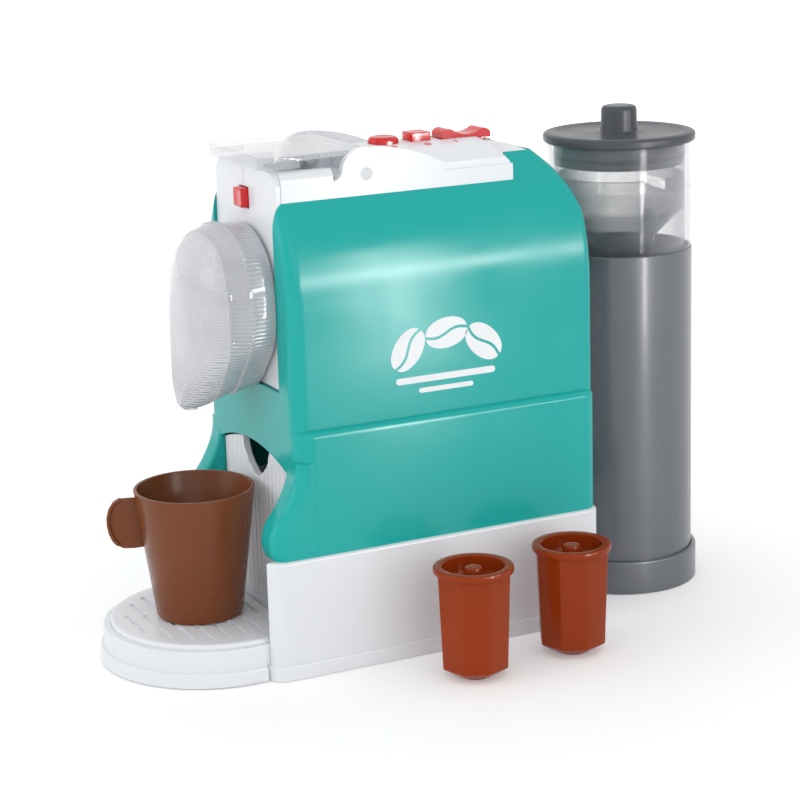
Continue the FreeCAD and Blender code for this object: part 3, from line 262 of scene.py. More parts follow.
def clear_moulding(name, tint, thin=0.35, thick=0.92, rough=0.08, height=None, depth=0.0):
    """A clear plastic: see-through where it is looked straight through, denser along its wall."""
    material, nodes, links, shader = new_material(name)
    place = nodes.new("ShaderNodeTexCoord").outputs["Object"]
    facing = nodes.new("ShaderNodeLayerWeight")
    facing.inputs["Blend"].default_value = 0.45
    alpha = span_node(nodes, links, facing.outputs["Facing"], thin, thick, 0.0, 1.0)
    haze = span_node(nodes, links, noise_node(nodes, links, place, 45.0, 3.0), -0.06, 0.06)
    links.new(math_node(nodes, links, "ADD", alpha, haze), shader.inputs["Alpha"])
    streak = span_node(nodes, links, noise_node(nodes, links, place, 22.0, 4.0), 0.0, 1.0)
    base = mix_colours(nodes, links, streak, scaled(tint, 0.9), scaled(tint, 1.05))
    links.new(base, shader.inputs["Base Color"])
    gloss = span_node(nodes, links, noise_node(nodes, links, place, 70.0, 3.0), max(0.02, rough - 0.03),
                      rough + 0.04)
    links.new(gloss, shader.inputs["Roughness"])
    wave = noise_node(nodes, links, place, 60.0, 2.0)
    normal = bump_node(nodes, links, wave, 0.06 * MM, 0.5)
    if height is not None:
        normal = bump_node(nodes, links, height(nodes, links, place), depth, 1.0, normal)
    links.new(normal, shader.inputs["Normal"])
    shader.inputs["Coat Weight"].default_value = 0.6
    shader.inputs["Coat Roughness"].default_value = 0.05
    return material


def split_axes(nodes, links, place):
    node = nodes.new("ShaderNodeSeparateXYZ")
    links.new(place, node.inputs[0])
    return node.outputs["X"], node.outputs["Y"], node.outputs["Z"]


def grip_height(nodes, links, place):
    """Small domes in a diagonal grid, as moulded on the face of the spout head."""
    x, y, z = split_axes(nodes, links, place)
    turns = 2 * math.pi / sizes().grip_pitch
    side = math_node(nodes, links, "SUBTRACT", x, math_node(nodes, links, "MULTIPLY", y, 0.6))
    one = math_node(nodes, links, "SINE", math_node(nodes, links, "MULTIPLY",
                    math_node(nodes, links, "ADD", side, z), turns * 0.72))
    two = math_node(nodes, links, "SINE", math_node(nodes, links, "MULTIPLY",
                    math_node(nodes, links, "SUBTRACT", side, z), turns * 0.72))
    return math_node(nodes, links, "MULTIPLY", one, two)


def rib_height(nodes, links, place):
    """Ribs that run front to back round the spout head."""
    x, _, z = split_axes(nodes, links, place)
    rise = math_node(nodes, links, "SUBTRACT", z, 130 * MM)
    angle = math_node(nodes, links, "ARCTAN2", rise, x)
    return math_node(nodes, links, "SINE", math_node(nodes, links, "MULTIPLY", angle, 120.0))


def brushed(name, colour, rough=0.35):
    """Plated metal with fine scratches."""
    material, nodes, links, shader = new_material(name)
    place = nodes.new("ShaderNodeTexCoord").outputs["Object"]
    scratch = noise_node(nodes, links, place, 1400.0, 3.0)
    share = span_node(nodes, links, scratch, 0.0, 1.0)
    links.new(mix_colours(nodes, links, share, scaled(colour, 0.85), scaled(colour, 1.1)),
              shader.inputs["Base Color"])
    links.new(span_node(nodes, links, scratch, rough - 0.1, rough + 0.1), shader.inputs["Roughness"])
    shader.inputs["Metallic"].default_value = 1.0
    return material


FINISHES = {}


def make_finishes():
    """Every finish, under the name of the record's slot where it has one."""
    c = colours()
    made = {
        "white_plastic": moulded("white moulding", tuple(c.white), 0.32, 0.02, coat=0.1),
        "teal_plastic": moulded("teal moulding", tuple(c.teal), 0.2, 0.05, 9.0, shine=0.24),
        "clear_plastic": clear_moulding("clear moulding", tuple(c.clear)),
        "jar": clear_moulding("clear jar", srgb(196, 199, 205), 0.06, 0.62, 0.05),
        "funnel": clear_moulding("clear funnel", srgb(150, 153, 160), 0.22, 0.9, 0.08),
        "lid": clear_moulding("clear lid", srgb(214, 217, 222), 0.2, 0.82, 0.05),
        "head_face": clear_moulding("patterned clear", tuple(c.clear), 0.84, 0.98, 0.2, grip_height,
                                    0.2 * MM),
        "head_band": clear_moulding("ribbed clear", srgb(206, 208, 214), 0.76, 0.96, 0.14, rib_height,
                                    0.12 * MM),
        "tank_grey": moulded("tank grey", tuple(c.tank), 0.3, 0.04, 10.0, coat=0.2, shine=0.5),
        "lid_grey": moulded("lid grey", tuple(c.lid), 0.3, 0.05, 12.0, shine=0.15),
        "red_plastic": moulded("button red", tuple(c.red), 0.2, 0.08, 30.0, coat=0.35),
        "cup_brown": moulded("cup brown", tuple(c.cup), 0.26, 0.1, 16.0, shine=0.22),
        "capsule_rust": moulded("capsule rust", tuple(c.capsule), 0.16, 0.1, 20.0, shine=0.14),
        "soft_hose": clear_moulding("soft hose", tuple(c.clear), 0.6, 0.95, 0.25),
        "seal_rubber": moulded("seal rubber", srgb(60, 60, 62), 0.7, 0.1, 30.0, 600.0, 0.02),
        "pale_pin": moulded("plain pin", srgb(205, 207, 212), 0.35, 0.05, 40.0),
        "steel": brushed("plated steel", srgb(190, 190, 192)),
        "contact_metal": brushed("contact plating", srgb(205, 190, 150), 0.3),
        "dark_plastic": moulded("dark plastic", srgb(38, 39, 42), 0.45, 0.1, 20.0),
        "board_green": moulded("board green", srgb(28, 92, 58), 0.4, 0.15, 60.0),
        "battery_jacket": moulded("battery jacket", srgb(70, 74, 82), 0.3, 0.08, 25.0),
        "lamp_lens": clear_moulding("lamp lens", srgb(245, 240, 225), 0.7, 0.95, 0.2),
        "print_white": moulded("printed white", srgb(238, 242, 244), 0.42, 0.03, 60.0, 1500.0, 0.01),
    }
    FINISHES.update(made)


def paint(piece, *finishes):
    """Puts finishes on an object's material slots, adds slots where it has too few, and leaves its faces."""
    while len(piece.material_slots) < len(finishes):
        piece.data.materials.append(FINISHES[finishes[0]])
    for i, place in enumerate(piece.material_slots):
        place.link = "OBJECT"
        place.material = FINISHES[finishes[min(i, len(finishes) - 1)]]


# Modelling by hand
def clear_selection():
    if bpy.context.mode != "OBJECT":
        bpy.ops.object.mode_set(mode="OBJECT")
    bpy.ops.object.select_all(action="DESELECT")


def named(name):
    """Names the piece that was just added."""
    piece = bpy.context.object
    piece.name = name
    piece.data.name = name
    return piece


def select_only(*pieces):
    clear_selection()
    for piece in pieces:
        piece.select_set(True)
    bpy.context.view_layer.objects.active = pieces[0]


def joined(name, *pieces):
    select_only(*pieces)
    if len(pieces) > 1:
        bpy.ops.object.join()
    return named(name)


def start_at(name, point):
    """A new piece of one corner, in edit mode, to be drawn out from."""
    clear_selection()
    bpy.ops.mesh.primitive_plane_add(size=MM, location=(0, 0, 0))
    piece = named(name)
    bpy.ops.object.mode_set(mode="EDIT")
    bpy.ops.mesh.select_mode(type="VERT")
    bpy.ops.mesh.select_all(action="SELECT")
    bpy.ops.mesh.merge(type="CENTER")
    bpy.ops.transform.translate(value=tuple(point))
    return piece


def draw_through(points):
    """Draws edges on from the corner that is selected, through the points."""
    for before, after in zip(points, points[1:]):
        bpy.ops.mesh.extrude_vertices_move(TRANSFORM_OT_translate={"value": tuple(after - before)})


def close_up():
    """Merges doubled corners, turns every face outward and leaves edit mode."""
    bpy.ops.mesh.select_all(action="SELECT")
    bpy.ops.mesh.remove_doubles(threshold=0.001 * MM)
    bpy.ops.mesh.normals_make_consistent(inside=False)
    bpy.ops.object.mode_set(mode="OBJECT")


def lathe(name, centre, profile, steps=None, turn=0.0):
    """A round or many-sided piece: a profile of (radius, height) in millimetres, spun about its centre."""
    out = Vector((math.cos(turn), math.sin(turn), 0))
    foot = Vector((centre.x, centre.y, 0))
    points = [foot + out * r * MM + Vector((0, 0, z * MM)) for r, z in profile]
    piece = start_at(name, points[0])
    draw_through(points)
    bpy.ops.mesh.select_all(action="SELECT")
    bpy.ops.mesh.spin(steps=steps or sizes().around, angle=2 * math.pi, center=tuple(foot), axis=(0, 0, 1))
    close_up()
    return piece


def plate(name, points, away):
    """A flat plate: its outline is drawn through the points, filled, and drawn out by a thickness."""
    piece = start_at(name, points[0])
    draw_through(points + points[:1])
    bpy.ops.mesh.select_all(action="SELECT")
    bpy.ops.mesh.remove_doubles(threshold=0.001 * MM)
    bpy.ops.mesh.edge_face_add()
    bpy.ops.mesh.extrude_region_move(TRANSFORM_OT_translate={"value": tuple(away)})
    close_up()
    return piece


def block(name, low, high):
    clear_selection()
    bpy.ops.mesh.primitive_cube_add(size=1, location=tuple(middle(low, high)))
    piece = named(name)
    piece.scale = high - low
    bpy.ops.object.transform_apply(location=True, rotation=False, scale=True)
    return piece


def pick_faces(piece, test):
    """Goes to edit mode with the faces selected whose middle and normal pass the test."""
    bpy.ops.object.mode_set(mode="EDIT")
    bpy.ops.mesh.select_mode(type="FACE")
    bpy.ops.mesh.select_all(action="DESELECT")
    bpy.ops.object.mode_set(mode="OBJECT")
    for face in piece.data.polygons:
        face.select = test(face.center, face.normal)
    bpy.ops.object.mode_set(mode="EDIT")


def dished(piece, test, border, step):
    """Sets a border on the faces that pass the test and moves what lies inside it."""
    pick_faces(piece, test)
    bpy.ops.mesh.inset(thickness=border)
    bpy.ops.transform.translate(value=tuple(step))
    bpy.ops.object.mode_set(mode="OBJECT")


def round_edges(piece, width, steps=3, limit=35.0):
    select_only(piece)
    bpy.ops.object.modifier_add(type="BEVEL")
    tool = piece.modifiers[-1]
    tool.width = width
    tool.segments = steps
    tool.limit_method = "ANGLE"
    tool.angle_limit = math.radians(limit)
    bpy.ops.object.modifier_apply(modifier=tool.name)


def hand_over(piece, finish, slot_name, body, *nodes, angle=35.0):
    """Shades a piece, paints it, and lets it ride in place of the nodes."""
    select_only(piece)
    bpy.ops.object.shade_smooth_by_angle(angle=math.radians(angle))
    paint(piece, *([finish] if isinstance(finish, str) else finish))
    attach(piece, body)
    if nodes:
        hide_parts(*nodes)
    return piece


def body_of_node(node):
    return frame["nodes"][node]["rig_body"]


def smooth_copy(name, nodes, finish, slot_name, angle=32.0):
    """A piece with the shape of one or more nodes, its corners merged and its round faces shaded smooth."""
    clear_selection()
    copies = []
    for node in nodes:
        copy = bpy.data.objects.new(name, frame["nodes"][node].data.copy())
        bpy.context.scene.collection.objects.link(copy)
        copies.append(copy)
    piece = joined(name, *copies)
    piece.data.materials.clear()
    bpy.ops.object.mode_set(mode="EDIT")
    bpy.ops.mesh.select_all(action="SELECT")
    bpy.ops.mesh.remove_doubles(threshold=0.004 * MM)
    bpy.ops.mesh.customdata_custom_splitnormals_clear()
    bpy.ops.object.mode_set(mode="OBJECT")
    return hand_over(piece, finish, slot_name, body_of_node(nodes[0]), *nodes, angle=angle)


SMOOTHED = [
    ("hood", ["body_hood"], "teal_plastic", "teal_plastic"),
    ("base", ["base_shell"], "white_plastic", "white_plastic"),
    ("base_plate", ["bottom_plate"], "white_plastic", "white_plastic"),
    ("rear_panel", ["rear_cover"], "white_plastic", "white_plastic"),
    ("face_plate", ["front_plate"], "white_plastic", "white_plastic"),
    ("console", ["top_console"], "white_plastic", "white_plastic"),
    ("tray", ["drip_tray"], "white_plastic", "white_plastic"),
    ("grille", ["drip_grille"], "white_plastic", "white_plastic"),
    ("bin", ["capsule_bin"], "white_plastic", "white_plastic"),
    ("lid_window", ["capsule_lid"], "lid", "clear_plastic"),
    ("head_back", ["spout_back_shell"], "head_band", "clear_plastic"),
    ("seat", ["tank_seat"], "tank_grey", "tank_grey"),
    ("button_rocker", ["power_rocker"], "red_plastic", "red_plastic"),
]


class COFFEE_OT_finishes(bpy.types.Operator):
    """Makes the finishes and puts one on every node of the frame"""

    bl_idname = "coffee.finishes"
    bl_label = "Finishes"

    def execute(self, context):
        make_finishes()
        for part in frame["record"]["subparts"]:
            paint(frame["nodes"][part["node"]], part["material_slot"])
        return {"FINISHED"}


class COFFEE_OT_shells(bpy.types.Operator):
    """Smooth pieces over the moulded shells"""

    bl_idname = "coffee.shells"
    bl_label = "Shells"

    def execute(self, context):
        for name, nodes, finish, slot_name in SMOOTHED:
            smooth_copy(name, nodes, finish, slot_name)
        return {"FINISHED"}


# Tray
class COFFEE_OT_grooves(bpy.types.Operator):
    """A floor inside the grille's slots, which makes them shallow grooves"""

    bl_idname = "coffee.grooves"
    bl_label = "Grille grooves"

    def execute(self, context):
        radius = (GRILLE_HIGH.x - GRILLE_LOW.x) / 2 - 4.4 * MM
        nose = GRILLE_LOW.y + (GRILLE_HIGH.x - GRILLE_LOW.x) / 2
        low = GRILLE_HIGH.z - 1.9 * MM
        steps = 24
        points = [Vector((radius, GRILLE_HIGH.y - 3.5 * MM, low)),
                  Vector((-radius, GRILLE_HIGH.y - 3.5 * MM, low))]
        for i in range(steps + 1):
            turn = math.pi + math.pi * i / steps
            points.append(Vector((radius * math.cos(turn), nose + radius * math.sin(turn), low)))
        floor = plate("grille_floor", points, mm(0, 0, 1.1))
        hand_over(floor, "white_plastic", "white_plastic", body_of_node("drip_grille"))
        return {"FINISHED"}


# Cup
CUP_WALL = 1.3
CUP_FOOT = 15.95
TAB_HALF = 1.0 * MM
LIP_HALF = 1.9 * MM
LIP_DEEP = 1.3
# The lip closes in on the middle of the handle, this far under the rim and over this reach
LIP_MIDDLE = 12.5
LIP_REACH = 8.5


def cup_profile():
    """The cup's outside from the middle of its foot up, over its rim and down to the middle of its floor."""
    foot, rim = CUP_FOOT, CUP_RIM / MM
    low, top = CUP_FOOT_Z, CUP_TOP_Z
    outside = [(0, low + 0.7), (12.6, low + 0.7), (13.1, low), (14.6, low), (15.4, low + 0.35),
               (foot, low + 1.3),
               (rim - 0.12, top - 1.0), (rim, top - 0.7), (rim, top - 0.3), (rim - 0.2, top - 0.05)]
    inside = [(rim - 0.7, top), (rim - CUP_WALL + 0.1, top - 0.15), (rim - CUP_WALL - 0.1, top - 0.6),
              (foot - CUP_WALL + 0.2, low + 3.6), (foot - CUP_WALL - 0.8, low + 2.4), (12.4, low + 2.0),
              (0, low + 2.0)]
    return outside + inside


def handle_points(outline):
    """Points of the handle's plane, from pairs of a distance from the cup's middle and a depth under its rim."""
    out = Vector((math.cos(HANDLE_ANGLE), math.sin(HANDLE_ANGLE), 0))
    return [CUP_MIDDLE + out * r * MM + Vector((0, 0, (CUP_TOP_Z - down) * MM)) for r, down in outline]


HANDLE_EDGE = [(27.6, 4.0), (30.0, 5.4), (31.6, 7.9), (32.4, 11.0), (32.4, 14.0), (31.8, 17.2), (30.7, 19.8),
               (29.0, 21.8)]


class COFFEE_OT_cup(bpy.types.Operator):
    """The cup with its flat, lipped handle"""

    bl_idname = "coffee.cup"
    bl_label = "Cup"

    def execute(self, context):
        wall = lathe("toy_cup", CUP_MIDDLE, cup_profile())
        across = Vector((-math.sin(HANDLE_ANGLE), math.cos(HANDLE_ANGLE), 0))
        outline = [(20.9, 4.4), (22.4, 3.7)] + HANDLE_EDGE + [(26.8, 22.9), (22.6, 22.9), (18.7, 22.4)]
        tab = plate("tab", [p - across * TAB_HALF for p in handle_points(outline)], across * 2 * TAB_HALF)
        round_edges(tab, 0.7 * MM)
        inner = [(r - LIP_DEEP, down + 0.5 * (LIP_MIDDLE - down) / LIP_REACH) for r,
                 down in reversed(HANDLE_EDGE)]
        lip = plate("lip", [p - across * LIP_HALF for p in handle_points(HANDLE_EDGE + inner)],
                    across * 2 * LIP_HALF)
        round_edges(lip, 0.5 * MM)
        cup = joined("toy_cup", wall, tab, lip)
        hand_over(cup, "cup_brown", "cup_brown", body_of_node("cup"), "cup")
        return {"FINISHED"}


# Capsules
CAPSULE_BODY = [(0, 0.8), (8.2, 0.8), (12.5, 3.6), (13.8, 39.0), (12.2, 39.0), (11.9, 34.0), (0, 34.0)]
CAPSULE_FOOT = [(0, 0), (6.4, 0), (6.8, 0.3), (6.8, 1.4), (0, 1.4)]
CAPSULE_RIM = [(11.1, 35.4), (11.1, 40.3), (11.35, 40.7), (11.8, 40.8), (13.8, 40.8), (14.25, 40.6),
               (14.45, 40.1),
               (14.45, 39.1), (14.25, 38.6), (13.8, 38.4), (12.0, 38.4), (12.0, 35.4), (11.1, 35.4)]
CAPSULE_CAP = [(0, 34.3), (11.0, 34.3), (11.05, 35.6), (4.3, 35.6), (3.5, 35.8), (3.2, 36.4), (3.2, 39.5),
               (2.95, 40.0), (2.4, 40.2), (1.2, 40.12), (0, 40.08)]


class COFFEE_OT_capsules(bpy.types.Operator):
    """Two eight-sided capsules with a flat flange and a recessed cap"""

    bl_idname = "coffee.capsules"
    bl_label = "Capsules"

    def execute(self, context):
        for name in ("capsule_1", "capsule_2"):
            low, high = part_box(name + "_cup")
            centre = middle(low, high)
            shell = lathe("shell", centre, CAPSULE_BODY, 8, CAPSULE_TURN)
            round_edges(shell, 0.35 * MM, 3, 20.0)
            foot = lathe("foot", centre, CAPSULE_FOOT)
            rim = lathe("rim", centre, CAPSULE_RIM)
            body = joined(name + "_body", shell, foot, rim)
            hand_over(body, "capsule_rust", "capsule_rust", body_of_node(name + "_cup"), name + "_cup",
                      angle=30.0)
            cap = lathe(name + "_top", centre, CAPSULE_CAP)
            hand_over(cap, "capsule_rust", "capsule_rust", body_of_node(name + "_cap"), name + "_cap",
                      angle=30.0)
        return {"FINISHED"}


# Tank
def tank_profiles():
    """The round pieces of the tank, each as (name, node, finish, slot, middle, profile)."""
    top = SLEEVE_HIGH.z / MM
    radius = (SLEEVE_HIGH.x - SLEEVE_LOW.x) / 2 / MM
    sleeve = [(radius - 1.1, SLEEVE_LOW.z / MM), (radius - 1.1, top - 0.3), (radius - 0.8, top),
              (radius - 0.35, top),
              (radius, top - 0.35), (radius, SLEEVE_LOW.z / MM), (radius - 1.1, SLEEVE_LOW.z / MM)]
    jar_top = JAR_TOP / MM
    jar = [(3.0, 10.3), (26.8, 10.3), (26.85, 133.5), (27.7, 133.7), (27.9, 134.2), (27.9, 156.0),
           (28.15, 156.6),
           (28.3, 157.2), (28.15, 157.8), (27.9, 158.4), (27.6, jar_top - 0.3), (27.3, jar_top),
           (25.6, jar_top),
           (25.3, jar_top - 0.3), (25.3, 12.4), (3.0, 12.4), (3.0, 10.3)]
    funnel = [(25.1, 148.6), (25.1, 161.3), (24.8, 161.6), (23.9, 161.6), (23.6, 161.3), (23.6, 149.8),
              (23.0, 148.7),
              (4.8, 131.0), (4.6, 130.4), (4.6, 124.2), (5.8, 124.2), (5.8, 129.5), (25.1, 148.6)]
    pipe = [(0, 12.3), (3.0, 12.3), (3.0, 145.0), (2.75, 146.3), (1.8, 147.2), (0, 147.5)]
    lid = [(0, 184.6), (5.0, 184.6), (5.0, 174.5), (23.1, 174.5), (23.1, 165.7), (24.9, 165.7),
           (24.95, 174.5),
           (28.8, 174.5), (29.25, 175.0), (29.3, 176.9), (29.1, 177.4), (28.5, 177.85), (27.4, 178.1),
           (25.6, 178.1),
           (24.2, 177.8), (22.8, 177.45), (11.0, 177.6), (8.0, 177.7), (7.2, 178.1), (7.0, 178.8),
           (6.85, 186.0),
           (6.65, 186.9), (6.1, 187.55), (5.2, 187.8), (2.2, 187.75), (0, 187.7)]
    return [("sleeve", "tank_sleeve", "tank_grey", "tank_grey", TANK_MIDDLE, sleeve),
            ("jar", "tank_jar", "jar", "clear_plastic", TANK_MIDDLE, jar),
            ("funnel", "tank_funnel", "funnel", "clear_plastic", TANK_MIDDLE, funnel),
            ("standpipe", "tank_standpipe", "funnel", "clear_plastic", PIPE_MIDDLE, pipe),
            ("lid_of_tank", "tank_lid", "lid_grey", "lid_grey", TANK_MIDDLE, lid)]


class COFFEE_OT_tank(bpy.types.Operator):
    """The tank's sleeve, jar, funnel, standpipe and lid"""

    bl_idname = "coffee.tank"
    bl_label = "Tank"

    def execute(self, context):
        for name, node, finish, slot_name, centre, profile in tank_profiles():
            piece = lathe(name, centre, profile)
            hand_over(piece, finish, slot_name, body_of_node(node), node)
        return {"FINISHED"}


# Spout head
HEAD_START = (28.9, 159.3, 96.6, 12.4)
HEAD_RINGS = [(-72.6, 28.9, 159.3, 96.6), (-73.6, 28.9, 159.3, 96.6), (-74.0, 28.2, 158.6, 97.2),
              (-77.0, 27.4, 157.9, 96.0), (-79.4, 26.4, 156.8, 95.1), (-79.9, 26.5, 156.9, 95.0),
              (-80.7, 25.9, 156.4, 94.6), (-81.0, 25.1, 155.6, 94.4), (-82.6, 23.9, 154.6, 93.8),
              (-85.0, 21.4, 152.0, 93.2), (-87.2, 17.7, 147.6, 92.9), (-89.2, 12.7, 139.8, 92.8),
              (-90.7, 8.6, 127.0, 93.2), (-91.7, 5.4, 114.0, 94.4)]


def egg_outline(y, half, top, low, low_half, between=6):
    """A closed egg-shaped line across the head, broad above and narrow at the nozzle."""
    tall = top - low
    right = [(0.0, top), (0.56 * half, top - 0.052 * tall), (0.86 * half, top - 0.18 * tall),
             (half, low + 0.56 * tall), (0.93 * half, low + 0.34 * tall),
             (0.5 * (0.75 * half + low_half), low + 0.15 * tall), (0.75 * low_half, low + 0.035 * tall),
             (0.0, low)]
    knots = right + [(-x, z) for x, z in reversed(right[1:-1])]
    points = []
    for i in range(len(knots)):
        a, b, c, d = [Vector(knots[(i + k) % len(knots)]) for k in (-1, 0, 1, 2)]
        for step in range(between):
            t = step / between
            bend = (2 * a - 5 * b + 4 * c - d) * t ** 2
            twist = (3 * b - a - 3 * c + d) * t ** 3
            flat = 0.5 * (2 * b + (c - a) * t + bend + twist)
            points.append(mm(flat.x, y, flat.y))
    return points


class COFFEE_OT_head(bpy.types.Operator):
    """The front of the spout head: a ridge at its seam, a ribbed band and a patterned face"""

    bl_idname = "coffee.head"
    bl_label = "Spout head"

    def execute(self, context):
        y, half, top, low = HEAD_RINGS[0]
        points = egg_outline(y, *HEAD_START)
        head = start_at("head_front", points[0])
        draw_through(points + points[:1])
        bpy.ops.mesh.select_all(action="SELECT")
        bpy.ops.mesh.remove_doubles(threshold=0.001 * MM)
        for next_y, next_half, next_top, next_low in HEAD_RINGS[1:]:
            bpy.ops.mesh.extrude_edges_move(TRANSFORM_OT_translate={"value": tuple(mm(0, next_y - y, 0))})
            grow = (next_half / half, 1, (next_top - next_low) / (top - low))
            bpy.ops.transform.resize(value=grow, center_override=tuple(mm(0, next_y, low)))
            bpy.ops.transform.translate(value=tuple(mm(0, 0, next_low - low)))
            y, half, top, low = next_y, next_half, next_top, next_low
        bpy.ops.mesh.edge_face_add()
        close_up()
        bpy.ops.object.modifier_add(type="SOLIDIFY")
        wall = head.modifiers[-1]
        wall.thickness = 1.5 * MM
        wall.offset = -1
        bpy.ops.object.modifier_apply(modifier=wall.name)
        hand_over(head, ["head_band", "head_face"], "clear_plastic", body_of_node("spout_front_shell"),
                  "spout_front_shell", angle=28.0)
        for face in head.data.polygons:
            face.material_index = 1 if face.center.y < -80.8 * MM else 0
        return {"FINISHED"}


# Buttons
class COFFEE_OT_buttons(bpy.types.Operator):
    """The round, square and front buttons"""

    bl_idname = "coffee.buttons"
    bl_label = "Buttons"

    def execute(self, context):
        top = ROUND_HIGH.z / MM
        profile = [(0, top - 10), (1.6, top - 10), (1.6, top - 7.4), (6.8, top - 7.4), (6.8, top - 6.2),
                   (5.6, top - 6.2), (5.6, top - 1.3), (5.35, top - 0.6), (4.8, top - 0.15), (4.0, top),
                   (3.2, top - 0.1), (2.4, top - 0.3), (0, top - 0.35)]
        dome = lathe("button_round", middle(ROUND_LOW, ROUND_HIGH), profile)
        hand_over(dome, "red_plastic", "red_plastic", body_of_node("round_button"), "round_button")
        centre = middle(SQUARE_LOW, SQUARE_HIGH)
        cap_half, flange_half = 4.05 * MM, 5.4 * MM
        cap = block("cap", Vector((centre.x - cap_half, centre.y - cap_half, SQUARE_HIGH.z - 8.2 * MM)),
                    Vector((centre.x + cap_half, centre.y + cap_half, SQUARE_HIGH.z)))
        dished(cap, lambda at, normal: normal.z > 0.9, 0.9 * MM, mm(0, 0, -0.3))
        round_edges(cap, sizes().edge)
        flange = block("flange",
                       Vector((centre.x - flange_half, centre.y - flange_half, SQUARE_HIGH.z - 8.2 * MM)),
                       Vector((centre.x + flange_half, centre.y + flange_half, SQUARE_HIGH.z - 7.0 * MM)))
        round_edges(flange, 0.3 * MM)
        stem = lathe("stem", centre,
                     [(0, SQUARE_LOW.z / MM), (1.6, SQUARE_LOW.z / MM), (1.6, SQUARE_LOW.z / MM + 3),
                                      (0, SQUARE_LOW.z / MM + 3)])
        square = joined("button_square", cap, flange, stem)
        hand_over(square, "red_plastic", "red_plastic", body_of_node("square_button"), "square_button")
        head = block("button_front", FRONT_LOW, Vector((FRONT_HIGH.x, FRONT_LOW.y + 5 * MM, FRONT_HIGH.z)))
        dished(head, lambda at, normal: normal.y < -0.9, 1.2 * MM, mm(0, 0.45, 0))
        round_edges(head, 1.0 * MM, 4)
        rod = block("rod", Vector((-2.4 * MM, FRONT_LOW.y + 4.5 * MM, FRONT_LOW.z + 0.8 * MM)),
                    Vector((2.4 * MM, FRONT_HIGH.y, FRONT_LOW.z + 4.0 * MM)))
        round_edges(rod, 0.2 * MM)
        push = joined("button_front", head, rod)
        hand_over(push, "red_plastic", "red_plastic", body_of_node("front_button"), "front_button")
        return {"FINISHED"}


# Printed motif and marks
BEAN_SLOT = 0.55
BEAN_BEND = 1.0
DOT_R = 1.3
STROKE_HALF = 0.28
RING_RADII = (0.8, 1.35)


def bean_half(centre, long, wide, tilt, side):
    """The outline of one half of a coffee bean, beside its curved slot, as (y, z) pairs."""
    gap, bend, steps = BEAN_SLOT, BEAN_BEND, 16
    flat = []
    for i in range(steps + 1):
        t = math.pi * i / steps
        flat.append((long * math.cos(t), side * (gap + (wide - gap) * math.sin(t))))
    for i in range(1, steps):
        run = -1 + 2 * i / steps
        flat.append((long * run, side * gap + bend * math.sin(math.pi * run)))
    c, s = math.cos(tilt), math.sin(tilt)
    return [(centre[0] + c * a - s * b, centre[1] + s * a + c * b) for a, b in flat]


def bar(y0, y1, z, thick):
    """A bar with rounded ends, as (y, z) pairs."""
    steps, r = 8, thick / 2
    right = [(y1 - r + r * math.sin(math.pi * i / steps),
              z - r * math.cos(math.pi * i / steps)) for i in range(steps + 1)]
    left = [(y0 + r - r * math.sin(math.pi * i / steps),
             z + r * math.cos(math.pi * i / steps)) for i in range(steps + 1)]
    return right + left


BEANS = [((-19.0, 113.5), 8.4, 5.6, 0.95), ((-3.5, 118.0), 8.4, 5.6, 0.15), ((11.5, 113.0), 8.4, 5.6, -0.75)]
BARS = [(-24.0, 16.0, 102.2, 2.4), (-15.0, 7.0, 98.0, 1.8)]


class COFFEE_OT_motif(bpy.types.Operator):
    """A row of coffee beans over two bars, printed on each side of the hood"""

    bl_idname = "coffee.motif"
    bl_label = "Printed motif"

    def execute(self, context):
        outlines = [bean_half(*bean, side) for bean in BEANS for side in (-1, 1)] + [bar(*b) for b in BARS]
        proud = sizes().print_proud
        for side, name in ((1, "print_right"), (-1, "print_left")):
            pieces = []
            for outline in outlines:
                points = [mm(side * (HOOD_SIDE - 0.02), y, z) for y, z in outline]
                pieces.append(plate("shape", points, Vector((side * (proud + 0.02 * MM), 0, 0))))
            print_piece = joined(name, *pieces)
            hand_over(print_piece, "print_white", "white_plastic", body_of_node("body_hood"))
        return {"FINISHED"}


def arc_band(r0, r1, a0, a1):
    """A band between two radii and two angles, as flat pairs. With no inner radius it is a sector."""
    steps = 16
    outer = [(r1 * math.cos(a0 + (a1 - a0) * i / steps), r1 * math.sin(a0 + (a1 - a0) * i / steps))
             for i in range(steps + 1)]
    inner = [(r0 * math.cos(a1 - (a1 - a0) * i / steps), r0 * math.sin(a1 - (a1 - a0) * i / steps))
             for i in range(steps + 1)]
    return outer + inner


def on_crown(y, flat):
    """Flat pairs laid on the console's crown beside the buttons, at a distance along the machine."""
    slope = math.asin(MARK_X / CROWN_BEND)
    high = CROWN_TOP - CROWN_BEND * (1 - math.cos(slope)) - 0.02
    centre = mm(MARK_X, y, high)
    along = Vector((math.cos(slope), 0, -math.sin(slope)))
    return [centre + along * a * MM + Vector((0, b * MM, 0)) for a, b in flat]


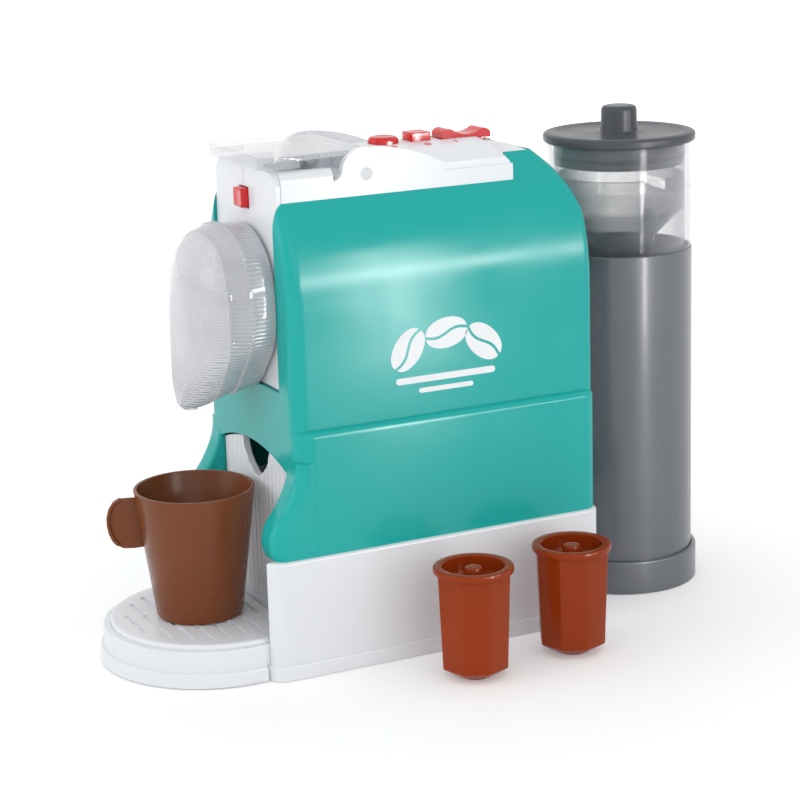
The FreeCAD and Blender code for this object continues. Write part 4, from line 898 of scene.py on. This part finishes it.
class COFFEE_OT_marks(bpy.types.Operator):
    """Small red marks on the console beside the buttons"""

    bl_idname = "coffee.marks"
    bl_label = "Button marks"

    def execute(self, context):
        slope = math.asin(MARK_X / CROWN_BEND)
        up = Vector((math.sin(slope), 0, math.cos(slope))) * 0.12 * MM
        round_y = middle(ROUND_LOW, ROUND_HIGH).y / MM
        square_y = middle(SQUARE_LOW, SQUARE_HIGH).y / MM
        rocker_y = middle(ROCKER_LOW, ROCKER_HIGH).y / MM
        disc = [(DOT_R * math.cos(math.pi * i / 12), DOT_R * math.sin(math.pi * i / 12)) for i in range(24)]
        stroke = [(a * DOT_R, b * STROKE_HALF) for a, b in ((-1, -1), (1, -1), (1, 1), (-1, 1))]
        halves = [arc_band(*RING_RADII, a, a + math.pi) for a in (0, math.pi)]
        placed = [(round_y, disc), (rocker_y - 7, stroke)]
        placed += [(square_y, half) for half in halves] + [(rocker_y + 5.5, half) for half in halves]
        pieces = [plate("mark", on_crown(y, flat), up) for y, flat in placed]
        marks = joined("button_marks", *pieces)
        hand_over(marks, "red_plastic", "red_plastic", body_of_node("top_console"))
        return {"FINISHED"}


# Stage
FLOOR_SIZE = 14.0
FLOOR_DROP = 0.2 * MM
SKY_ON_SURFACES = 0.9
SKY_AS_SEEN = 1.0
# The floor's glow at two distances from the middle, in metres
GLOW_LEVELS = (0.2, 0.7)
GLOW_REACH = (0.12, 1.2)

# Each lamp: name, place, aim, width, height, watts, and whether only glossy surfaces show it
LAMPS = [
    ("key", (1.2, -0.4, 0.6), (0, 0, 0.09), 0.9, 0.6, 1.6, False),
    ("front", (-0.2, -1.3, 0.5), (0, 0, 0.09), 0.9, 0.5, 2.0, False),
    ("strip", (1.25, 0.62, 0.34), (0, 0, 0.14), 1.1, 0.1, 11.0, True),
    ("upright", (0.42, 0.15, 0.16), (0, 0.0935, 0.1), 0.05, 0.3, 1.3, True),
]


def look_from():
    """The camera's place and turn."""
    back = Vector((math.sin(CAMERA_AZIMUTH) * math.cos(CAMERA_ELEVATION),
                   -math.cos(CAMERA_AZIMUTH) * math.cos(CAMERA_ELEVATION), math.sin(CAMERA_ELEVATION)))
    right = (-back).cross(Vector((0, 0, 1))).normalized()
    up = right.cross(-back)
    level = math.cos(CAMERA_ROLL) * right - math.sin(CAMERA_ROLL) * up
    tall = math.sin(CAMERA_ROLL) * right + math.cos(CAMERA_ROLL) * up
    turn = Matrix((level, tall, back)).transposed()
    return CAMERA_AIM + back * CAMERA_AWAY, turn


def soft_light(name, place, aim, width, height, power, only_gloss=False):
    lamp = bpy.data.lights.new(name, "AREA")
    lamp.shape = "RECTANGLE"
    lamp.size = width
    lamp.size_y = height
    lamp.energy = power
    holder = bpy.data.objects.new(name, lamp)
    bpy.context.scene.collection.objects.link(holder)
    holder.location = place
    holder.rotation_euler = (Vector(aim) - Vector(place)).to_track_quat("-Z", "Y").to_euler()
    holder.visible_diffuse = not only_gloss
    return holder


def seen_share(nodes, links):
    """1 for a ray from the camera, and for one that a glossy or clear surface sends on."""
    path = nodes.new("ShaderNodeLightPath")
    some = math_node(nodes, links, "MAXIMUM", path.outputs["Is Camera Ray"], path.outputs["Is Glossy Ray"])
    return math_node(nodes, links, "MAXIMUM", some, path.outputs["Is Transmission Ray"])


def floor_material():
    """A pale floor that glows a little more away from the object, so that it fades to white."""
    material, nodes, links, shader = new_material("pale floor")
    place = nodes.new("ShaderNodeTexCoord").outputs["Object"]
    share = span_node(nodes, links, noise_node(nodes, links, place, 3.0), 0.0, 1.0)
    links.new(mix_colours(nodes, links, share, (0.88, 0.88, 0.885), (0.9, 0.9, 0.9)),
              shader.inputs["Base Color"])
    shader.inputs["Roughness"].default_value = 0.6
    shader.inputs["Specular IOR Level"].default_value = 0.2
    shader.inputs["Emission Color"].default_value = (1, 1, 1, 1)
    reach = nodes.new("ShaderNodeVectorMath")
    reach.operation = "LENGTH"
    links.new(place, reach.inputs[0])
    glow = span_node(nodes, links, reach.outputs["Value"], *GLOW_LEVELS, *GLOW_REACH)
    links.new(math_node(nodes, links, "MULTIPLY", seen_share(nodes, links), glow),
              shader.inputs["Emission Strength"])
    return material


class COFFEE_OT_stage(bpy.types.Operator):
    """Sets the floor, the sky, the lamps and the camera"""

    bl_idname = "coffee.stage"
    bl_label = "Stage"

    def execute(self, context):
        clear_selection()
        bpy.ops.mesh.primitive_plane_add(size=FLOOR_SIZE, location=(0, 0, -FLOOR_DROP))
        floor = named("floor")
        bpy.ops.object.transform_apply(location=True, rotation=False, scale=False)
        floor.data.materials.append(floor_material())
        world = bpy.data.worlds.new("studio")
        world.use_nodes = True
        context.scene.world = world
        sky, wires = world.node_tree.nodes, world.node_tree.links
        level = span_node(sky, wires, seen_share(sky, wires), SKY_ON_SURFACES, SKY_AS_SEEN, 0.0, 1.0)
        wires.new(level, sky["Background"].inputs["Strength"])
        sky["Background"].inputs["Color"].default_value = (1, 1, 1, 1)
        for lamp in LAMPS:
            soft_light(*lamp)
        place_of, turn = look_from()
        lens = bpy.data.cameras.new("camera")
        lens.sensor_width = SENSOR_WIDTH
        lens.lens = FOCAL_PIXELS * SENSOR_WIDTH / PICTURE_PIXELS
        lens.clip_start = 0.05
        lens.clip_end = 50.0
        camera = bpy.data.objects.new("camera", lens)
        context.scene.collection.objects.link(camera)
        camera.matrix_world = Matrix.Translation(place_of) @ turn.to_4x4()
        context.scene.camera = camera
        context.scene.view_settings.view_transform = "Standard"
        return {"FINISHED"}


STEPS = [COFFEE_OT_finishes, COFFEE_OT_shells, COFFEE_OT_grooves, COFFEE_OT_cup, COFFEE_OT_capsules,
         COFFEE_OT_tank,
         COFFEE_OT_head, COFFEE_OT_buttons, COFFEE_OT_motif, COFFEE_OT_marks, COFFEE_OT_stage]
GROUPS = [CoffeeColours, CoffeeSizes]


class COFFEE_PT_panel(bpy.types.Panel):
    """Lists the coffee maker's steps"""

    bl_idname = "COFFEE_PT_panel"
    bl_label = "Toy Coffee Maker"
    bl_space_type = "VIEW_3D"
    bl_region_type = "UI"
    bl_category = "Coffee Maker"

    def draw(self, context):
        column = self.layout.column()
        for step in STEPS:
            column.operator(step.bl_idname)
        for group in (context.scene.coffee_colours, context.scene.coffee_sizes):
            for name in group.__annotations__:
                column.prop(group, name)


def register():
    for item in GROUPS + STEPS + [COFFEE_PT_panel]:
        bpy.utils.register_class(item)
    bpy.types.Scene.coffee_colours = bpy.props.PointerProperty(type=CoffeeColours)
    bpy.types.Scene.coffee_sizes = bpy.props.PointerProperty(type=CoffeeSizes)


def unregister():
    del bpy.types.Scene.coffee_sizes
    del bpy.types.Scene.coffee_colours
    for item in reversed(GROUPS + STEPS + [COFFEE_PT_panel]):
        bpy.utils.unregister_class(item)


def main():
    register()
    for step in STEPS:
        group, action = step.bl_idname.split(".")
        getattr(getattr(bpy.ops, group), action)()


if __name__ == "__main__":
    main()
